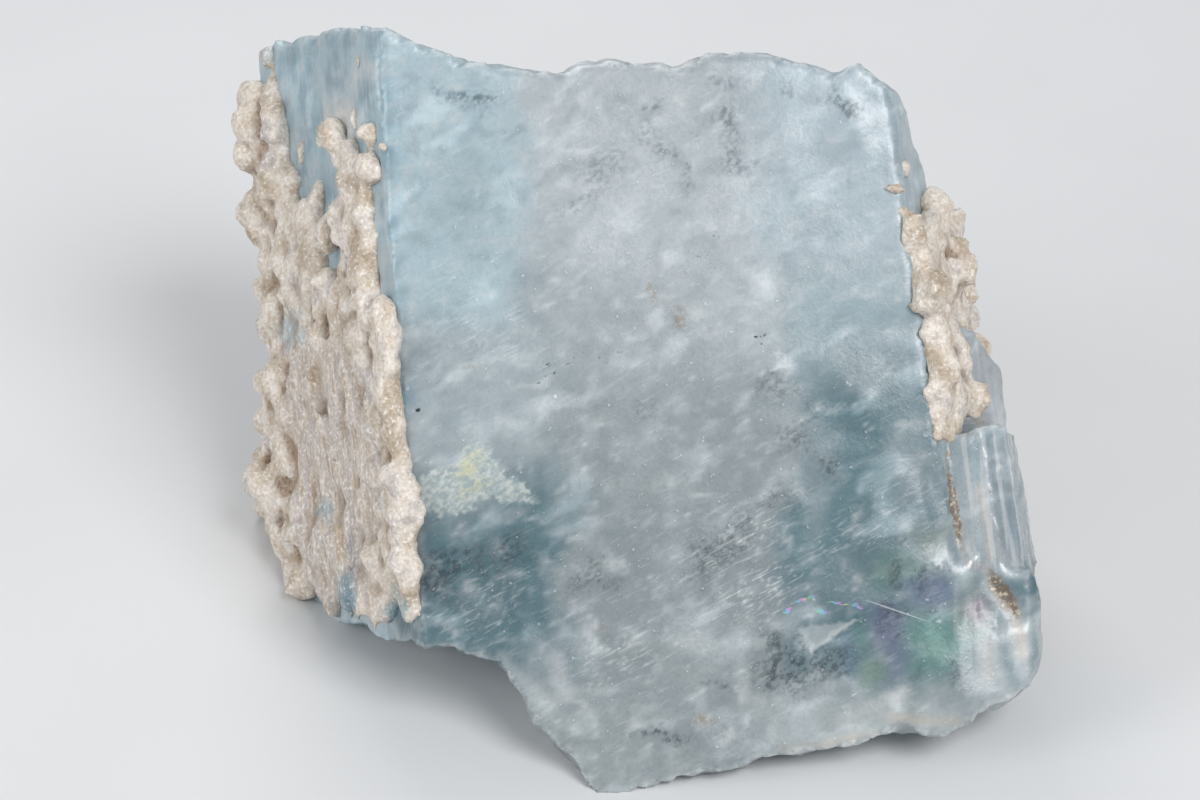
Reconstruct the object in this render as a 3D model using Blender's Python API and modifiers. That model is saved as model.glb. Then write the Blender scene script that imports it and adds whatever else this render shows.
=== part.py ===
"""Topaz crystal on albite matrix.

A stout broken prism of topaz sits on a mass of albite, which covers its back and wraps round
both flanks as a crust of rounded nodules. The specimen is modelled upright in the crystal's own
frame: x to the right, y into the crystal from its broad front face, z up along the prism. It is
then leaned back and cut off flat where it rests. Sizes are millimetres, times MM for metres.
"""

import math
import random

import bmesh
import bpy
from mathutils import Matrix, Vector, noise

MM = 0.001

# How the specimen rests.
LEAN_BACK_DEG = 33.0
REST_CUT_HEIGHT = 0.3  # the flat cut, above the crystal's lowest tip

# The prism's section at MID_HEIGHT: x, depth, and the drift of x for each millimetre upwards.
MID_HEIGHT = 40.0
FRONT_LEFT = (-19.7, 0.0, -0.078)
REAR_LEFT = (-34.3, 30.0, -0.08)
BACK_LEFT = (-29.0, 37.0, -0.05)
BACK_RIGHT = (28.0, 37.0, -0.10)
REAR_RIGHT = (39.0, 24.0, -0.12)
FLANK_RIGHT = (37.0, 10.0, -0.13)
FRONT_RIGHT = (33.2, 0.0, -0.135)
PRISM_SECTION = (
    FRONT_LEFT, REAR_LEFT, BACK_LEFT, BACK_RIGHT, REAR_RIGHT, FLANK_RIGHT, FRONT_RIGHT,
)
PRISM_BOTTOM, PRISM_TOP = -6.0, 86.0
SLAB_FRONT, SLAB_BACK = -4.0, 42.0

# The crystal's broken outline, seen square to its front face: (x, z), from the top left corner.
BROKEN_TOP = (
    (-37.6, 76.6), (-34.6, 78.1), (-32.3, 77.4), (-30.4, 77.9), (-27.0, 78.3), (-23.4, 77.0),
    (-20.0, 75.9), (-16.4, 74.8), (-12.3, 73.5), (-11.4, 74.1), (-10.0, 73.1), (-4.8, 72.4),
    (-1.4, 73.3), (0.4, 73.9), (6.1, 73.7), (7.4, 72.8), (9.7, 73.0), (10.3, 74.0),
    (14.5, 74.4), (17.8, 73.7), (18.8, 72.8), (20.1, 73.4), (22.4, 72.4), (24.6, 72.5),
    (25.4, 74.0), (26.4, 72.6), (29.1, 71.2), (31.0, 69.4), (31.6, 66.5),
)
RIGHT_SIDE = (
    (32.6, 64.5), (34.0, 60.0), (35.8, 55.0), (37.4, 48.0), (40.0, 38.0), (42.5, 24.0),
    (43.6, 12.6), (41.6, 10.2), (38.6, 8.6),
)
BROKEN_UNDERSIDE = (
    (35.7, 6.8), (33.4, 6.3), (29.5, 7.0), (28.4, 6.1), (24.7, 5.2), (18.9, 4.3), (15.8, 3.7),
    (12.6, 3.1), (9.4, 2.0), (4.8, 1.1), (1.2, 0.0), (-0.8, 0.3), (-2.2, 3.0), (-5.1, 5.8),
    (-6.6, 7.0), (-7.7, 9.4), (-8.6, 11.6), (-10.3, 13.7), (-13.5, 14.8), (-15.9, 15.6),
    (-17.2, 15.0), (-18.6, 15.9), (-21.2, 15.3), (-25.1, 16.0), (-27.2, 15.7), (-29.5, 17.8),
    (-33.5, 18.8), (-34.8, 22.0),
)
LEFT_SIDE = ((-36.5, 34.0), (-37.0, 48.0), (-38.2, 62.0), (-38.8, 72.0))

# Growths joined to the crystal's right: an outline (x, z) that trims a section of their own,
# given like the prism's.
SIDE_PRISM = (
    ((34.0, 35.6), (36.5, 36.6), (40.5, 37.0), (43.2, 34.4), (44.8, 28.0), (45.4, 22.2),
     (40.5, 22.8), (37.2, 23.2), (34.0, 24.6)),
    ((33.0, 2.2, -0.13), (35.8, 0.8, -0.13), (38.0, 0.2, -0.13), (40.6, 2.6, -0.13),
     (42.2, 7.5, -0.14), (41.2, 15.0, -0.14), (34.0, 18.0, -0.13)),
)
CORNER_BLOCK = (
    ((30.0, 24.0), (37.6, 23.6), (40.6, 21.8), (43.6, 22.4), (44.4, 19.7), (44.8, 14.2),
     (44.0, 12.8), (43.4, 11.2), (41.8, 10.3), (40.6, 9.2), (38.5, 8.6), (35.7, 6.7),
     (30.0, 7.0)),
    ((29.0, 1.0, 0.0), (33.0, 0.0, 0.0), (42.6, 0.2, -0.03), (44.6, 2.6, -0.03),
     (45.0, 10.0, -0.03), (42.0, 17.0, -0.03), (29.0, 19.0, 0.0)),
)
RIGHT_SHOULDER = (
    ((33.0, 47.4), (38.0, 46.4), (41.0, 42.8), (41.9, 40.2), (41.3, 36.8), (42.2, 35.0),
     (33.0, 34.0)),
    ((33.0, 7.0, -0.1), (38.0, 5.6, -0.1), (41.2, 9.0, -0.1), (42.0, 15.0, -0.1),
     (40.0, 22.0, -0.1), (33.0, 22.0, -0.1)),
)

# Stained grooves in the front: where each starts and ends (x, z), its width and depth, and how far
# its cutter stands in front of the face.
CUTTER_REACH = 3.0
SEAM_GROOVE = ((34.7, 33.8), (36.4, 24.0), 0.8, 3.2)
NOTCH_GROOVE = ((38.2, 23.2), (41.9, 17.4), 1.2, 3.2)

# Chips broken off the top behind the front edge: the middle of each chip's lowest face, its size
# along x and y, and how that face tilts about x and about y, in degrees.
CHIP_HEIGHT = 20.0
TOP_CHIPS = (
    ((2.0, 26.0, 69.5), (34.0, 34.0), -14.0, 3.0),
    ((25.0, 24.0, 66.5), (26.0, 36.0), -9.0, 12.0),
    ((-14.0, 34.0, 71.0), (14.0, 30.0), -20.0, -8.0),
)

# Surface relief. Striae run up the prism's side faces, low ledges cross the front and the broken
# ends are rough: the height of each, and how often it repeats for each millimetre.
STRIA_RELIEF, STRIA_ACROSS, STRIA_ALONG = 0.45, 0.9, 0.03
LEDGE_RELIEF, LEDGE_ACROSS, LEDGE_ALONG, LEDGE_STEPS = 0.35, 0.07, 0.11, 4
BREAK_RELIEF, ROUGHNESS, ROUGH_ON_FACE = 0.85, 0.16, 0.21
PRISM_LEAN = 0.1  # how far the prism's edges drift in x for each millimetre upwards, about
# How squarely a face must point up or down to count as broken, and forwards as the front.
BROKEN_FROM, FRONT_FROM = 0.35, 0.8

# Albite: the mass behind the crystal, as an outline (x, z) and two depths.
MATRIX_FRONT, MATRIX_BACK = 28.0, 41.5
MATRIX_OUTLINE = (
    (-36.8, 73.0), (-28.0, 74.0), (-18.0, 69.0), (2.0, 65.0), (14.0, 63.0), (26.0, 61.0),
    (32.5, 57.0), (36.5, 50.0), (38.5, 40.0), (40.0, 26.0), (41.0, 12.0), (20.0, 4.0),
    (-34.0, 4.0), (-34.2, 22.0), (-34.6, 46.0), (-35.8, 60.0),
)
# Rounded masses on its back: spacing, radius and how far they stand out.
MASS_SPACING, MASS_RADIUS, MASS_RISE, MASS_JITTER = 7.5, (4.2, 6.5), (2.5, 4.1), 2.0
MASS_SUNK, MASS_INSET = 2.5, 3.0
RIM_SPACING, RIM_RADIUS, RIM_INSET = 4.5, (1.6, 2.6), (4.0, 1.0)

# The thin crust on the flanks, as plates. Each covers a share of the flank's width, where 0 is the
# front edge and 1 the rear edge, between two heights.
CRUST_THICKNESS, CRUST_STEPS = 1.1, 10
LEFT_CRUSTS = (
    ((0.04, 0.60), (19.0, 49.5)), ((0.40, 1.03), (20.0, 49.5)), ((0.60, 1.03), (49.0, 61.0)),
    ((0.84, 1.03), (60.0, 73.0)), ((0.12, 0.26), (49.0, 65.0)), ((0.26, 0.62), (57.0, 58.4)),
    ((0.20, 0.36), (63.5, 66.5)),
)
RIGHT_CRUSTS = (((0.02, 1.35), (38.5, 57.5)), ((0.80, 1.35), (6.0, 39.0)))

# Beds of nodules on the crust, by share and height, and the nodules' spacing, radius across,
# length along the prism against that radius, and how far they stray and stand out.
NODULE_SPACING, NODULE_RADIUS, NODULE_STRETCH = 3.1, (1.2, 1.9), (1.1, 1.8)
NODULE_JITTER, NODULE_STAND = 0.35, 0.6
LEFT_BEDS = (
    ((0.76, 0.97), (19.0, 75.0)), ((0.00, 0.14), (18.0, 47.0)), ((0.14, 0.78), (36.0, 51.5)),
    ((0.14, 0.78), (18.0, 25.0)), ((0.50, 0.78), (51.5, 62.0)), ((0.08, 0.34), (51.0, 64.0)),
)
RIGHT_BEDS = (
    ((0.04, 0.40), (38.5, 57.0)), ((0.40, 0.75), (46.0, 58.0)), ((0.75, 1.35), (6.0, 59.0)),
)
# Larger lumps: share, height, radius across, radius along the prism, how far the centre stands out.
LEFT_LUMPS = (
    (1.00, 71.8, 2.3, 3.0, 0.6), (1.00, 66.0, 1.7, 2.2, 0.1), (1.00, 59.8, 2.2, 2.4, 0.6),
    (1.00, 51.0, 1.8, 2.8, 0.4), (0.97, 45.4, 1.6, 1.6, -0.3), (1.00, 42.4, 2.0, 2.4, 0.3),
    (1.00, 36.4, 2.2, 3.0, 0.5), (1.00, 30.5, 2.8, 2.9, 0.8), (1.00, 25.0, 2.2, 2.2, 0.5),
    (0.95, 20.6, 2.2, 2.4, 0.6), (0.82, 28.0, 2.2, 3.2, 0.8), (0.66, 24.5, 2.3, 3.0, 0.6),
    (0.86, 38.5, 2.2, 3.0, 0.6), (0.84, 55.0, 1.9, 2.6, 0.6), (0.86, 63.0, 1.9, 2.6, 0.4),
    (0.36, 67.2, 1.7, 2.2, 0.3), (0.09, 66.6, 1.3, 1.4, 0.2), (0.09, 63.2, 1.4, 1.7, 0.3),
    (0.25, 62.0, 1.6, 2.0, 0.4), (0.22, 57.6, 1.5, 2.0, 0.3), (0.45, 57.6, 1.8, 2.2, 0.3),
    (0.13, 54.6, 1.1, 1.2, 0.2), (0.12, 48.5, 2.0, 2.2, 0.6), (0.30, 49.0, 1.8, 2.6, 0.3),
    (0.06, 40.6, 1.6, 2.2, 0.4), (0.05, 29.4, 1.7, 3.0, 0.4), (0.02, 26.4, 1.7, 1.8, 0.3),
    (0.10, 23.6, 1.7, 1.9, 0.5), (0.38, 20.8, 1.8, 2.6, 0.5), (0.28, 18.4, 1.7, 1.8, 0.2),
    (0.05, 18.6, 1.4, 1.9, 0.2),
)
RIGHT_LUMPS = (
    (0.00, 62.5, 1.2, 1.6, 0.0), (0.02, 57.0, 1.4, 2.0, 0.1), (0.30, 58.6, 1.8, 2.4, 0.4),
    (0.05, 50.8, 2.2, 2.6, 0.3), (0.42, 53.0, 2.1, 2.5, 1.1), (0.25, 47.4, 2.0, 2.2, 0.5),
    (0.04, 46.0, 1.4, 1.8, 0.2), (0.12, 42.4, 2.0, 2.4, 0.3), (0.20, 39.4, 2.1, 2.4, 0.5),
    (0.38, 38.8, 1.8, 1.8, 0.4), (0.14, 36.8, 1.4, 1.6, 0.2),
)
# The albite's uneven surface: height, grain and the blades along the prism, in the same terms.
ALBITE_RELIEF, ALBITE_GRAIN = 0.45, 0.22
BLADE_RELIEF, BLADE_ACROSS, BLADE_ALONG = 0.27, 0.7, 0.12
CONTACT_GAP = 0.4  # between the albite and the crystal that it holds

TOPAZ_COLOUR, TOPAZ_ROUGHNESS = (0.38, 0.55, 0.60), 0.25
ALBITE_COLOUR, ALBITE_ROUGHNESS = (0.72, 0.66, 0.59), 0.6

# Voxel sizes, and the triangles kept.
TOPAZ_VOXEL = 0.6
ALBITE_VOXEL = 0.6
TOPAZ_TRIANGLES = 2900
ALBITE_TRIANGLES = 9500
HOLLOW_TRIANGLES = 2200


MERGE_DISTANCE = 0.01
BACKWARDS = Vector((0.0, 1.0, 0.0))


def section_point(corner, height):
    """Return where an edge of the prism is at a height, as a point in millimetres."""
    x, depth, drift = corner
    return Vector((x + drift * (height - MID_HEIGHT), depth, height))


def new_object(name, mesh, collection):
    """Link a mesh to a collection as a named object."""
    obj = bpy.data.objects.new(name, mesh)
    collection.objects.link(obj)
    return obj


def mesh_object(name, build, collection):
    """Make an object from what build(bm) adds to an empty bmesh."""
    bm = bmesh.new()
    build(bm)
    bmesh.ops.recalc_face_normals(bm, faces=bm.faces)
    mesh = bpy.data.meshes.new(name)
    bm.to_mesh(mesh)
    bm.free()
    return new_object(name, mesh, collection)


def bake_modifiers(obj):
    """Replace an object's mesh with the evaluated one and drop its modifiers."""
    depsgraph = bpy.context.evaluated_depsgraph_get()
    mesh = bpy.data.meshes.new_from_object(obj.evaluated_get(depsgraph))
    obj.modifiers.clear()
    obj.data = mesh


def boolean(obj, other, operation):
    """Cut, join or intersect obj with other, and bake the result."""
    modifier = obj.modifiers.new(operation.title(), "BOOLEAN")
    modifier.operation = operation
    modifier.solver = "EXACT"
    modifier.object = other
    bake_modifiers(obj)


def remesh(obj, voxel):
    """Join the overlapping shells of obj into one even mesh."""
    modifier = obj.modifiers.new("Remesh", "REMESH")
    modifier.mode = "VOXEL"
    modifier.voxel_size = voxel * MM
    bake_modifiers(obj)


def decimate(obj, triangles):
    """Reduce obj to about this many triangles."""
    count = sum(len(face.vertices) - 2 for face in obj.data.polygons)
    modifier = obj.modifiers.new("Decimate", "DECIMATE")
    modifier.ratio = min(1.0, triangles / count)
    modifier.use_collapse_triangulate = True
    bake_modifiers(obj)


def displace(obj, height_at):
    """Move each vertex along its normal by height_at(place, normal), all in millimetres."""
    mesh = obj.data
    normals = [vertex.normal.copy() for vertex in mesh.vertices]
    for vertex, normal in zip(mesh.vertices, normals):
        vertex.co += normal * height_at(vertex.co / MM, normal) * MM


def plate(name, outline, front, back, collection):
    """Extrude an outline of (x, z) points between two depths."""
    curve = bpy.data.curves.new(name, "CURVE")
    curve.dimensions = "2D"
    curve.fill_mode = "BOTH"
    curve.extrude = (back - front) / 2 * MM
    spline = curve.splines.new("POLY")
    spline.points.add(len(outline) - 1)
    for point, (x, z) in zip(spline.points, outline):
        point.co = (x * MM, z * MM, 0.0, 1.0)
    spline.use_cyclic_u = True
    flat = new_object(name, curve, collection)
    flat.matrix_world = (
        Matrix.Translation((0.0, (front + back) / 2 * MM, 0.0))
        @ Matrix.Rotation(math.radians(90.0), 4, "X")
    )
    bpy.context.view_layer.update()
    depsgraph = bpy.context.evaluated_depsgraph_get()
    mesh = bpy.data.meshes.new_from_object(flat.evaluated_get(depsgraph))
    mesh.transform(flat.matrix_world)
    bpy.data.objects.remove(flat)
    bm = bmesh.new()
    bm.from_mesh(mesh)
    bmesh.ops.remove_doubles(bm, verts=bm.verts, dist=MERGE_DISTANCE * MM)
    bmesh.ops.recalc_face_normals(bm, faces=bm.faces)
    bm.to_mesh(mesh)
    bm.free()
    return new_object(name, mesh, collection)


def prism(name, section, collection):
    """Loft a prism between its lower and upper sections, whose corners drift apart."""
    def build(bm):
        lower = [bm.verts.new(section_point(c, PRISM_BOTTOM) * MM) for c in section]
        upper = [bm.verts.new(section_point(c, PRISM_TOP) * MM) for c in section]
        bm.faces.new(lower)
        bm.faces.new(upper)
        for i in range(len(lower)):
            j = (i + 1) % len(lower)
            bm.faces.new((lower[i], lower[j], upper[j], upper[i]))
    return mesh_object(name, build, collection)


def groove(name, start, end, width, depth, collection):
    """Make the cutter of a groove in the front: a long thin box along a line."""
    run = Vector((end[0] - start[0], 0.0, end[1] - start[1]))
    across, height = (start[0] + end[0]) / 2, (start[1] + end[1]) / 2
    middle = Vector((across, (depth - CUTTER_REACH) / 2, height))
    turn = run.to_track_quat("Z", "Y").to_matrix().to_4x4()
    size = Matrix.Diagonal((width * MM, (depth + CUTTER_REACH) * MM, run.length * MM, 1.0))

    def build(bm):
        bmesh.ops.create_cube(bm, size=1.0, matrix=Matrix.Translation(middle * MM) @ turn @ size)
    return mesh_object(name, build, collection)


def join(objects):
    """Put several objects' meshes into the first one."""
    bm = bmesh.new()
    for obj in objects:
        bm.from_mesh(obj.data)
    bm.to_mesh(objects[0].data)
    bm.free()
    for obj in objects[1:]:
        bpy.data.objects.remove(obj)
    return objects[0]


def trimmed_prism(name, outline, section, collection, cutters):
    """Make a prism whose ends and sides are trimmed by an outline seen from the front."""
    body = prism(name, section, collection)
    boolean(body, plate(name + "_outline", outline, SLAB_FRONT, SLAB_BACK, cutters), "INTERSECT")
    return body


def topaz_relief(place, normal):
    """Striae on the prism's upright faces, low ledges on the front, rough broken ends."""
    x, y, z = place
    across = x + PRISM_LEAN * z
    broken = max(0.0, abs(normal.z) - BROKEN_FROM) / (1.0 - BROKEN_FROM)
    front = max(0.0, -normal.y - FRONT_FROM) / (1.0 - FRONT_FROM)
    side = max(0.0, 1.0 - broken - front)
    stria = Vector((across * STRIA_ACROSS, y * STRIA_ACROSS, z * STRIA_ALONG))
    ledge = Vector((x * LEDGE_ACROSS, z * LEDGE_ALONG, (z - x) * LEDGE_ACROSS))
    step = math.floor(noise.noise(ledge) * LEDGE_STEPS) / LEDGE_STEPS
    rough = noise.fractal(place * ROUGHNESS, 0.6, 2.1, 3)
    return (
        STRIA_RELIEF * side * noise.noise(stria)
        + front * (LEDGE_RELIEF * step + ROUGH_ON_FACE * rough)
        + BREAK_RELIEF * broken * rough
    )


def chip(name, lowest, size, tilt_x, tilt_y, cutters):
    """Make the cutter of one chip: a box whose lowest face is the broken surface."""
    matrix = (
        Matrix.Translation(Vector(lowest) * MM)
        @ Matrix.Rotation(math.radians(tilt_x), 4, "X")
        @ Matrix.Rotation(math.radians(tilt_y), 4, "Y")
        @ Matrix.Translation((0.0, 0.0, CHIP_HEIGHT / 2 * MM))
        @ Matrix.Diagonal((size[0] * MM, size[1] * MM, CHIP_HEIGHT * MM, 1.0))
    )

    def build(bm):
        bmesh.ops.create_cube(bm, size=1.0, matrix=matrix)
    return mesh_object(name, build, cutters)


def topaz_crystal(collection, cutters):
    """Build the crystal: prism and broken outline, its side growths, grooves and relief."""
    outline = BROKEN_TOP + RIGHT_SIDE + BROKEN_UNDERSIDE + LEFT_SIDE
    crystal = trimmed_prism("topaz_crystal", outline, PRISM_SECTION, collection, cutters)
    for i, shape in enumerate(TOP_CHIPS):
        boolean(crystal, chip(f"top_chip_{i + 1}", *shape, cutters), "DIFFERENCE")
    growths = [
        trimmed_prism(name, *shape, collection, cutters)
        for name, shape in (
            ("side_prism", SIDE_PRISM), ("corner_block", CORNER_BLOCK),
            ("right_shoulder", RIGHT_SHOULDER),
        )
    ]
    crystal = join([crystal] + growths)
    remesh(crystal, TOPAZ_VOXEL)
    for name, shape in (("seam_groove", SEAM_GROOVE), ("notch_groove", NOTCH_GROOVE)):
        boolean(crystal, groove(name, *shape, cutters), "DIFFERENCE")
    remesh(crystal, TOPAZ_VOXEL)
    displace(crystal, topaz_relief)
    decimate(crystal, TOPAZ_TRIANGLES)
    return crystal


class Flank:
    """One side of the prism, as a run of its upright faces from the front edge to the rear."""

    def __init__(self, corners):
        self.corners = corners

    def place(self, share, height):
        """Return the point at a share of the width and a height, and the way out from there."""
        points = [section_point(corner, height) for corner in self.corners]
        lengths = [(b - a).length for a, b in zip(points, points[1:])]
        run = share * sum(lengths)
        step = 0
        while step < len(lengths) - 1 and run > lengths[step]:
            run -= lengths[step]
            step += 1
        along = (points[step + 1] - points[step]).normalized()
        out = Vector((along.y, -along.x, 0.0))
        middle = Vector((0.0, MATRIX_FRONT / 2, height))
        if out.dot(points[step] - middle) < 0:
            out.negate()
        return points[step] + along * run, out

    def width(self):
        points = [section_point(corner, MID_HEIGHT) for corner in self.corners]
        return sum((b - a).length for a, b in zip(points, points[1:]))


LEFT_FLANK = Flank((FRONT_LEFT, REAR_LEFT))
RIGHT_FLANK = Flank((FRONT_RIGHT, FLANK_RIGHT, REAR_RIGHT))


def lump(bm, centre, out, across, along, rise):
    """Add one rounded lump, half sunk in the surface that it grows on."""
    turn = out.to_track_quat("Y", "Z").to_matrix().to_4x4()
    size = Matrix.Diagonal((across * MM, rise * MM, along * MM, 1.0))
    matrix = Matrix.Translation(centre * MM) @ turn @ size
    bmesh.ops.create_icosphere(bm, subdivisions=2, radius=1.0, matrix=matrix)


def nodule_bed(bm, flank, shares, heights, rng):
    """Scatter nodules over a bed of a flank, in jittered rows."""
    width = flank.width() * (shares[1] - shares[0])
    columns = max(1, round(width / NODULE_SPACING))
    rows = max(1, round((heights[1] - heights[0]) / NODULE_SPACING))
    for row in range(rows):
        for column in range(columns):
            share = (column + 0.5 + rng.uniform(-NODULE_JITTER, NODULE_JITTER)) / columns
            level = (row + 0.5 + rng.uniform(-NODULE_JITTER, NODULE_JITTER)) / rows
            across = rng.uniform(*NODULE_RADIUS)
            along = across * rng.uniform(*NODULE_STRETCH)
            place, out = flank.place(
                shares[0] + share * (shares[1] - shares[0]),
                heights[0] + level * (heights[1] - heights[0]),
            )
            lump(bm, place + out * rng.uniform(0.0, NODULE_STAND), out, across, along, across)


def placed_lump(bm, flank, share, height, across, along, stand):
    """Add one of the larger lumps where it grows."""
    place, out = flank.place(share, height)
    lump(bm, place + out * stand, out, across, along, across)


def crust(bm, flank, shares, heights):
    """Add one plate of crust along a flank, as a ribbon of quads given a thickness."""
    steps = CRUST_STEPS
    ring = []
    for height in heights:
        for side in (-1.0, 1.0):
            line = []
            for i in range(steps + 1):
                share = shares[0] + (shares[1] - shares[0]) * i / steps
                place, out = flank.place(share, height)
                line.append(bm.verts.new((place + out * side * CRUST_THICKNESS) * MM))
            ring.append(line)
    low_in, low_out, high_in, high_out = ring
    loop = (low_in, low_out, high_out, high_in)
    for a, b in zip(loop, loop[1:] + loop[:1]):
        for i in range(steps):
            bm.faces.new((a[i], a[i + 1], b[i + 1], b[i]))
    for i in (0, steps):
        bm.faces.new([line[i] for line in loop])


def matrix_masses(bm, rng):
    """Cover the back of the albite, and its rim, with broad rounded masses."""
    for (x1, z1), (x2, z2) in zip(MATRIX_OUTLINE, MATRIX_OUTLINE[1:] + MATRIX_OUTLINE[:1]):
        run = Vector((x2 - x1, 0.0, z2 - z1))
        count = max(1, round(run.length / RIM_SPACING))
        for i in range(count):
            place = Vector((x1, 0.0, z1)) + run * ((i + rng.random()) / count)
            place.y = rng.uniform(MATRIX_FRONT + RIM_INSET[0], MATRIX_BACK - RIM_INSET[1])
            radius = rng.uniform(*RIM_RADIUS)
            lump(bm, place, BACKWARDS, radius, radius, radius)
    left = min(x for x, _ in MATRIX_OUTLINE) + MASS_INSET
    right = max(x for x, _ in MATRIX_OUTLINE) - MASS_INSET
    top = max(z for _, z in MATRIX_OUTLINE)
    for row in range(math.ceil(top / MASS_SPACING)):
        for column in range(math.ceil((right - left) / MASS_SPACING)):
            x = left + column * MASS_SPACING + rng.uniform(-MASS_JITTER, MASS_JITTER)
            z = row * MASS_SPACING + rng.uniform(-MASS_JITTER, MASS_JITTER)
            radius = rng.uniform(*MASS_RADIUS)
            rise = rng.uniform(*MASS_RISE)
            if inside(x, z, MATRIX_OUTLINE):
                place = Vector((x, MATRIX_BACK - MASS_SUNK, z))
                lump(bm, place, BACKWARDS, radius, radius, rise)


def inside(x, z, outline):
    """Tell whether a point is inside an outline."""
    odd = False
    for (x1, z1), (x2, z2) in zip(outline, outline[1:] + outline[:1]):
        if (z1 > z) != (z2 > z) and x < x1 + (z - z1) * (x2 - x1) / (z2 - z1):
            odd = not odd
    return odd


def albite_relief(place, normal):
    """Blades along the prism on the flanks, and an uneven surface everywhere."""
    x, y, z = place
    across = x + PRISM_LEAN * z
    blade = Vector((across * BLADE_ACROSS, y * BLADE_ACROSS, z * BLADE_ALONG))
    rough = noise.fractal(place * ALBITE_GRAIN, 0.7, 2.0, 3)
    return BLADE_RELIEF * noise.noise(blade) + ALBITE_RELIEF * rough


def albite_matrix(collection, cutters, crystal):
    """Build the albite: the mass behind, the crusts and nodules, less the crystal's place."""
    albite = plate("albite_matrix", MATRIX_OUTLINE, MATRIX_FRONT, MATRIX_BACK, collection)
    rng = random.Random(11)

    def growths(bm):
        matrix_masses(bm, rng)
        for flank, crusts, lumps, beds in (
            (LEFT_FLANK, LEFT_CRUSTS, LEFT_LUMPS, LEFT_BEDS),
            (RIGHT_FLANK, RIGHT_CRUSTS, RIGHT_LUMPS, RIGHT_BEDS),
        ):
            for shares, heights in crusts:
                crust(bm, flank, shares, heights)
            for shape in lumps:
                placed_lump(bm, flank, *shape)
            for shares, heights in beds:
                nodule_bed(bm, flank, shares, heights, rng)
    albite = join([albite, mesh_object("growths", growths, collection)])
    remesh(albite, ALBITE_VOXEL)
    displace(albite, albite_relief)
    decimate(albite, ALBITE_TRIANGLES)
    hollow = new_object("crystal_hollow", crystal.data.copy(), cutters)
    displace(hollow, lambda place, normal: CONTACT_GAP)
    remesh(hollow, TOPAZ_VOXEL)
    decimate(hollow, HOLLOW_TRIANGLES)
    boolean(albite, hollow, "DIFFERENCE")
    return albite


def keep_largest(obj):
    """Drop loose crumbs: keep only the connected body with the most vertices."""
    bm = bmesh.new()
    bm.from_mesh(obj.data)
    left = set(bm.verts)
    bodies = []
    while left:
        body, front = set(), [left.pop()]
        while front:
            vertex = front.pop()
            body.add(vertex)
            for edge in vertex.link_edges:
                other = edge.other_vert(vertex)
                if other in left:
                    left.discard(other)
                    front.append(other)
        bodies.append(body)
    largest = max(bodies, key=len)
    crumbs = [vertex for vertex in bm.verts if vertex not in largest]
    bmesh.ops.delete(bm, geom=crumbs, context="VERTS")
    bm.to_mesh(obj.data)
    bm.free()


def rest_cut(obj):
    """Lean obj back and cut it off flat at the resting plane."""
    obj.data.transform(Matrix.Rotation(math.radians(-LEAN_BACK_DEG), 4, "X"))
    bm = bmesh.new()
    bm.from_mesh(obj.data)
    geom = list(bm.verts) + list(bm.edges) + list(bm.faces)
    cut = bmesh.ops.bisect_plane(
        bm, geom=geom, dist=0.0, plane_co=(0.0, 0.0, REST_CUT_HEIGHT * MM),
        plane_no=(0.0, 0.0, 1.0), clear_inner=True,
    )
    edges = [item for item in cut["geom_cut"] if isinstance(item, bmesh.types.BMEdge)]
    bmesh.ops.triangle_fill(bm, edges=edges, use_beauty=True, use_dissolve=False)
    bmesh.ops.triangulate(bm, faces=bm.faces)
    bmesh.ops.recalc_face_normals(bm, faces=bm.faces)
    bm.to_mesh(obj.data)
    bm.free()


def centre_on_base(objects):
    """Put the frame's origin at the middle of the whole specimen's box, on its underside."""
    points = [vertex.co for obj in objects for vertex in obj.data.vertices]
    low = [min(point[i] for point in points) for i in range(3)]
    high = [max(point[i] for point in points) for i in range(3)]
    shift = Vector((-(low[0] + high[0]) / 2, -(low[1] + high[1]) / 2, -low[2]))
    for obj in objects:
        obj.data.transform(Matrix.Translation(shift))
    print("origin shift in mm:", [round(value / MM, 3) for value in shift])


def finish(obj, colour, roughness):
    """Give obj its material and flat, crystal-like shading."""
    material = bpy.data.materials.new(obj.name)
    material.use_nodes = True
    shader = material.node_tree.nodes["Principled BSDF"]
    shader.inputs["Base Color"].default_value = (*colour, 1.0)
    shader.inputs["Roughness"].default_value = roughness
    shader.inputs["Metallic"].default_value = 0.0
    obj.data.materials.clear()
    obj.data.materials.append(material)
    obj.data.shade_flat()


def main():
    for obj in list(bpy.data.objects):
        bpy.data.objects.remove(obj)
    specimen = bpy.data.collections.new("Topaz on albite")
    cutters = bpy.data.collections.new("Cutters")
    for collection in (specimen, cutters):
        bpy.context.scene.collection.children.link(collection)
    crystal = topaz_crystal(specimen, cutters)
    albite = albite_matrix(specimen, cutters, crystal)
    for obj in (crystal, albite):
        rest_cut(obj)
        keep_largest(obj)
    centre_on_base([crystal, albite])
    finish(crystal, TOPAZ_COLOUR, TOPAZ_ROUGHNESS)
    finish(albite, ALBITE_COLOUR, ALBITE_ROUGHNESS)
    for obj in cutters.objects:
        obj.hide_render = True
        obj.display_type = "WIRE"


main()
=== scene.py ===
"""Looks of the topaz on albite: fine surfaces, materials, light and camera.

The crystal's own frame is used for every mark: x to the right, y into the crystal from its front
face, z up along the prism, in millimetres. The specimen leans back, so that frame is tilted and
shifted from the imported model's.
"""

import math
import random

import bmesh
import bpy
import numpy as np
from mathutils import Matrix, Vector, noise
from mathutils.bvhtree import BVHTree


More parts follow.
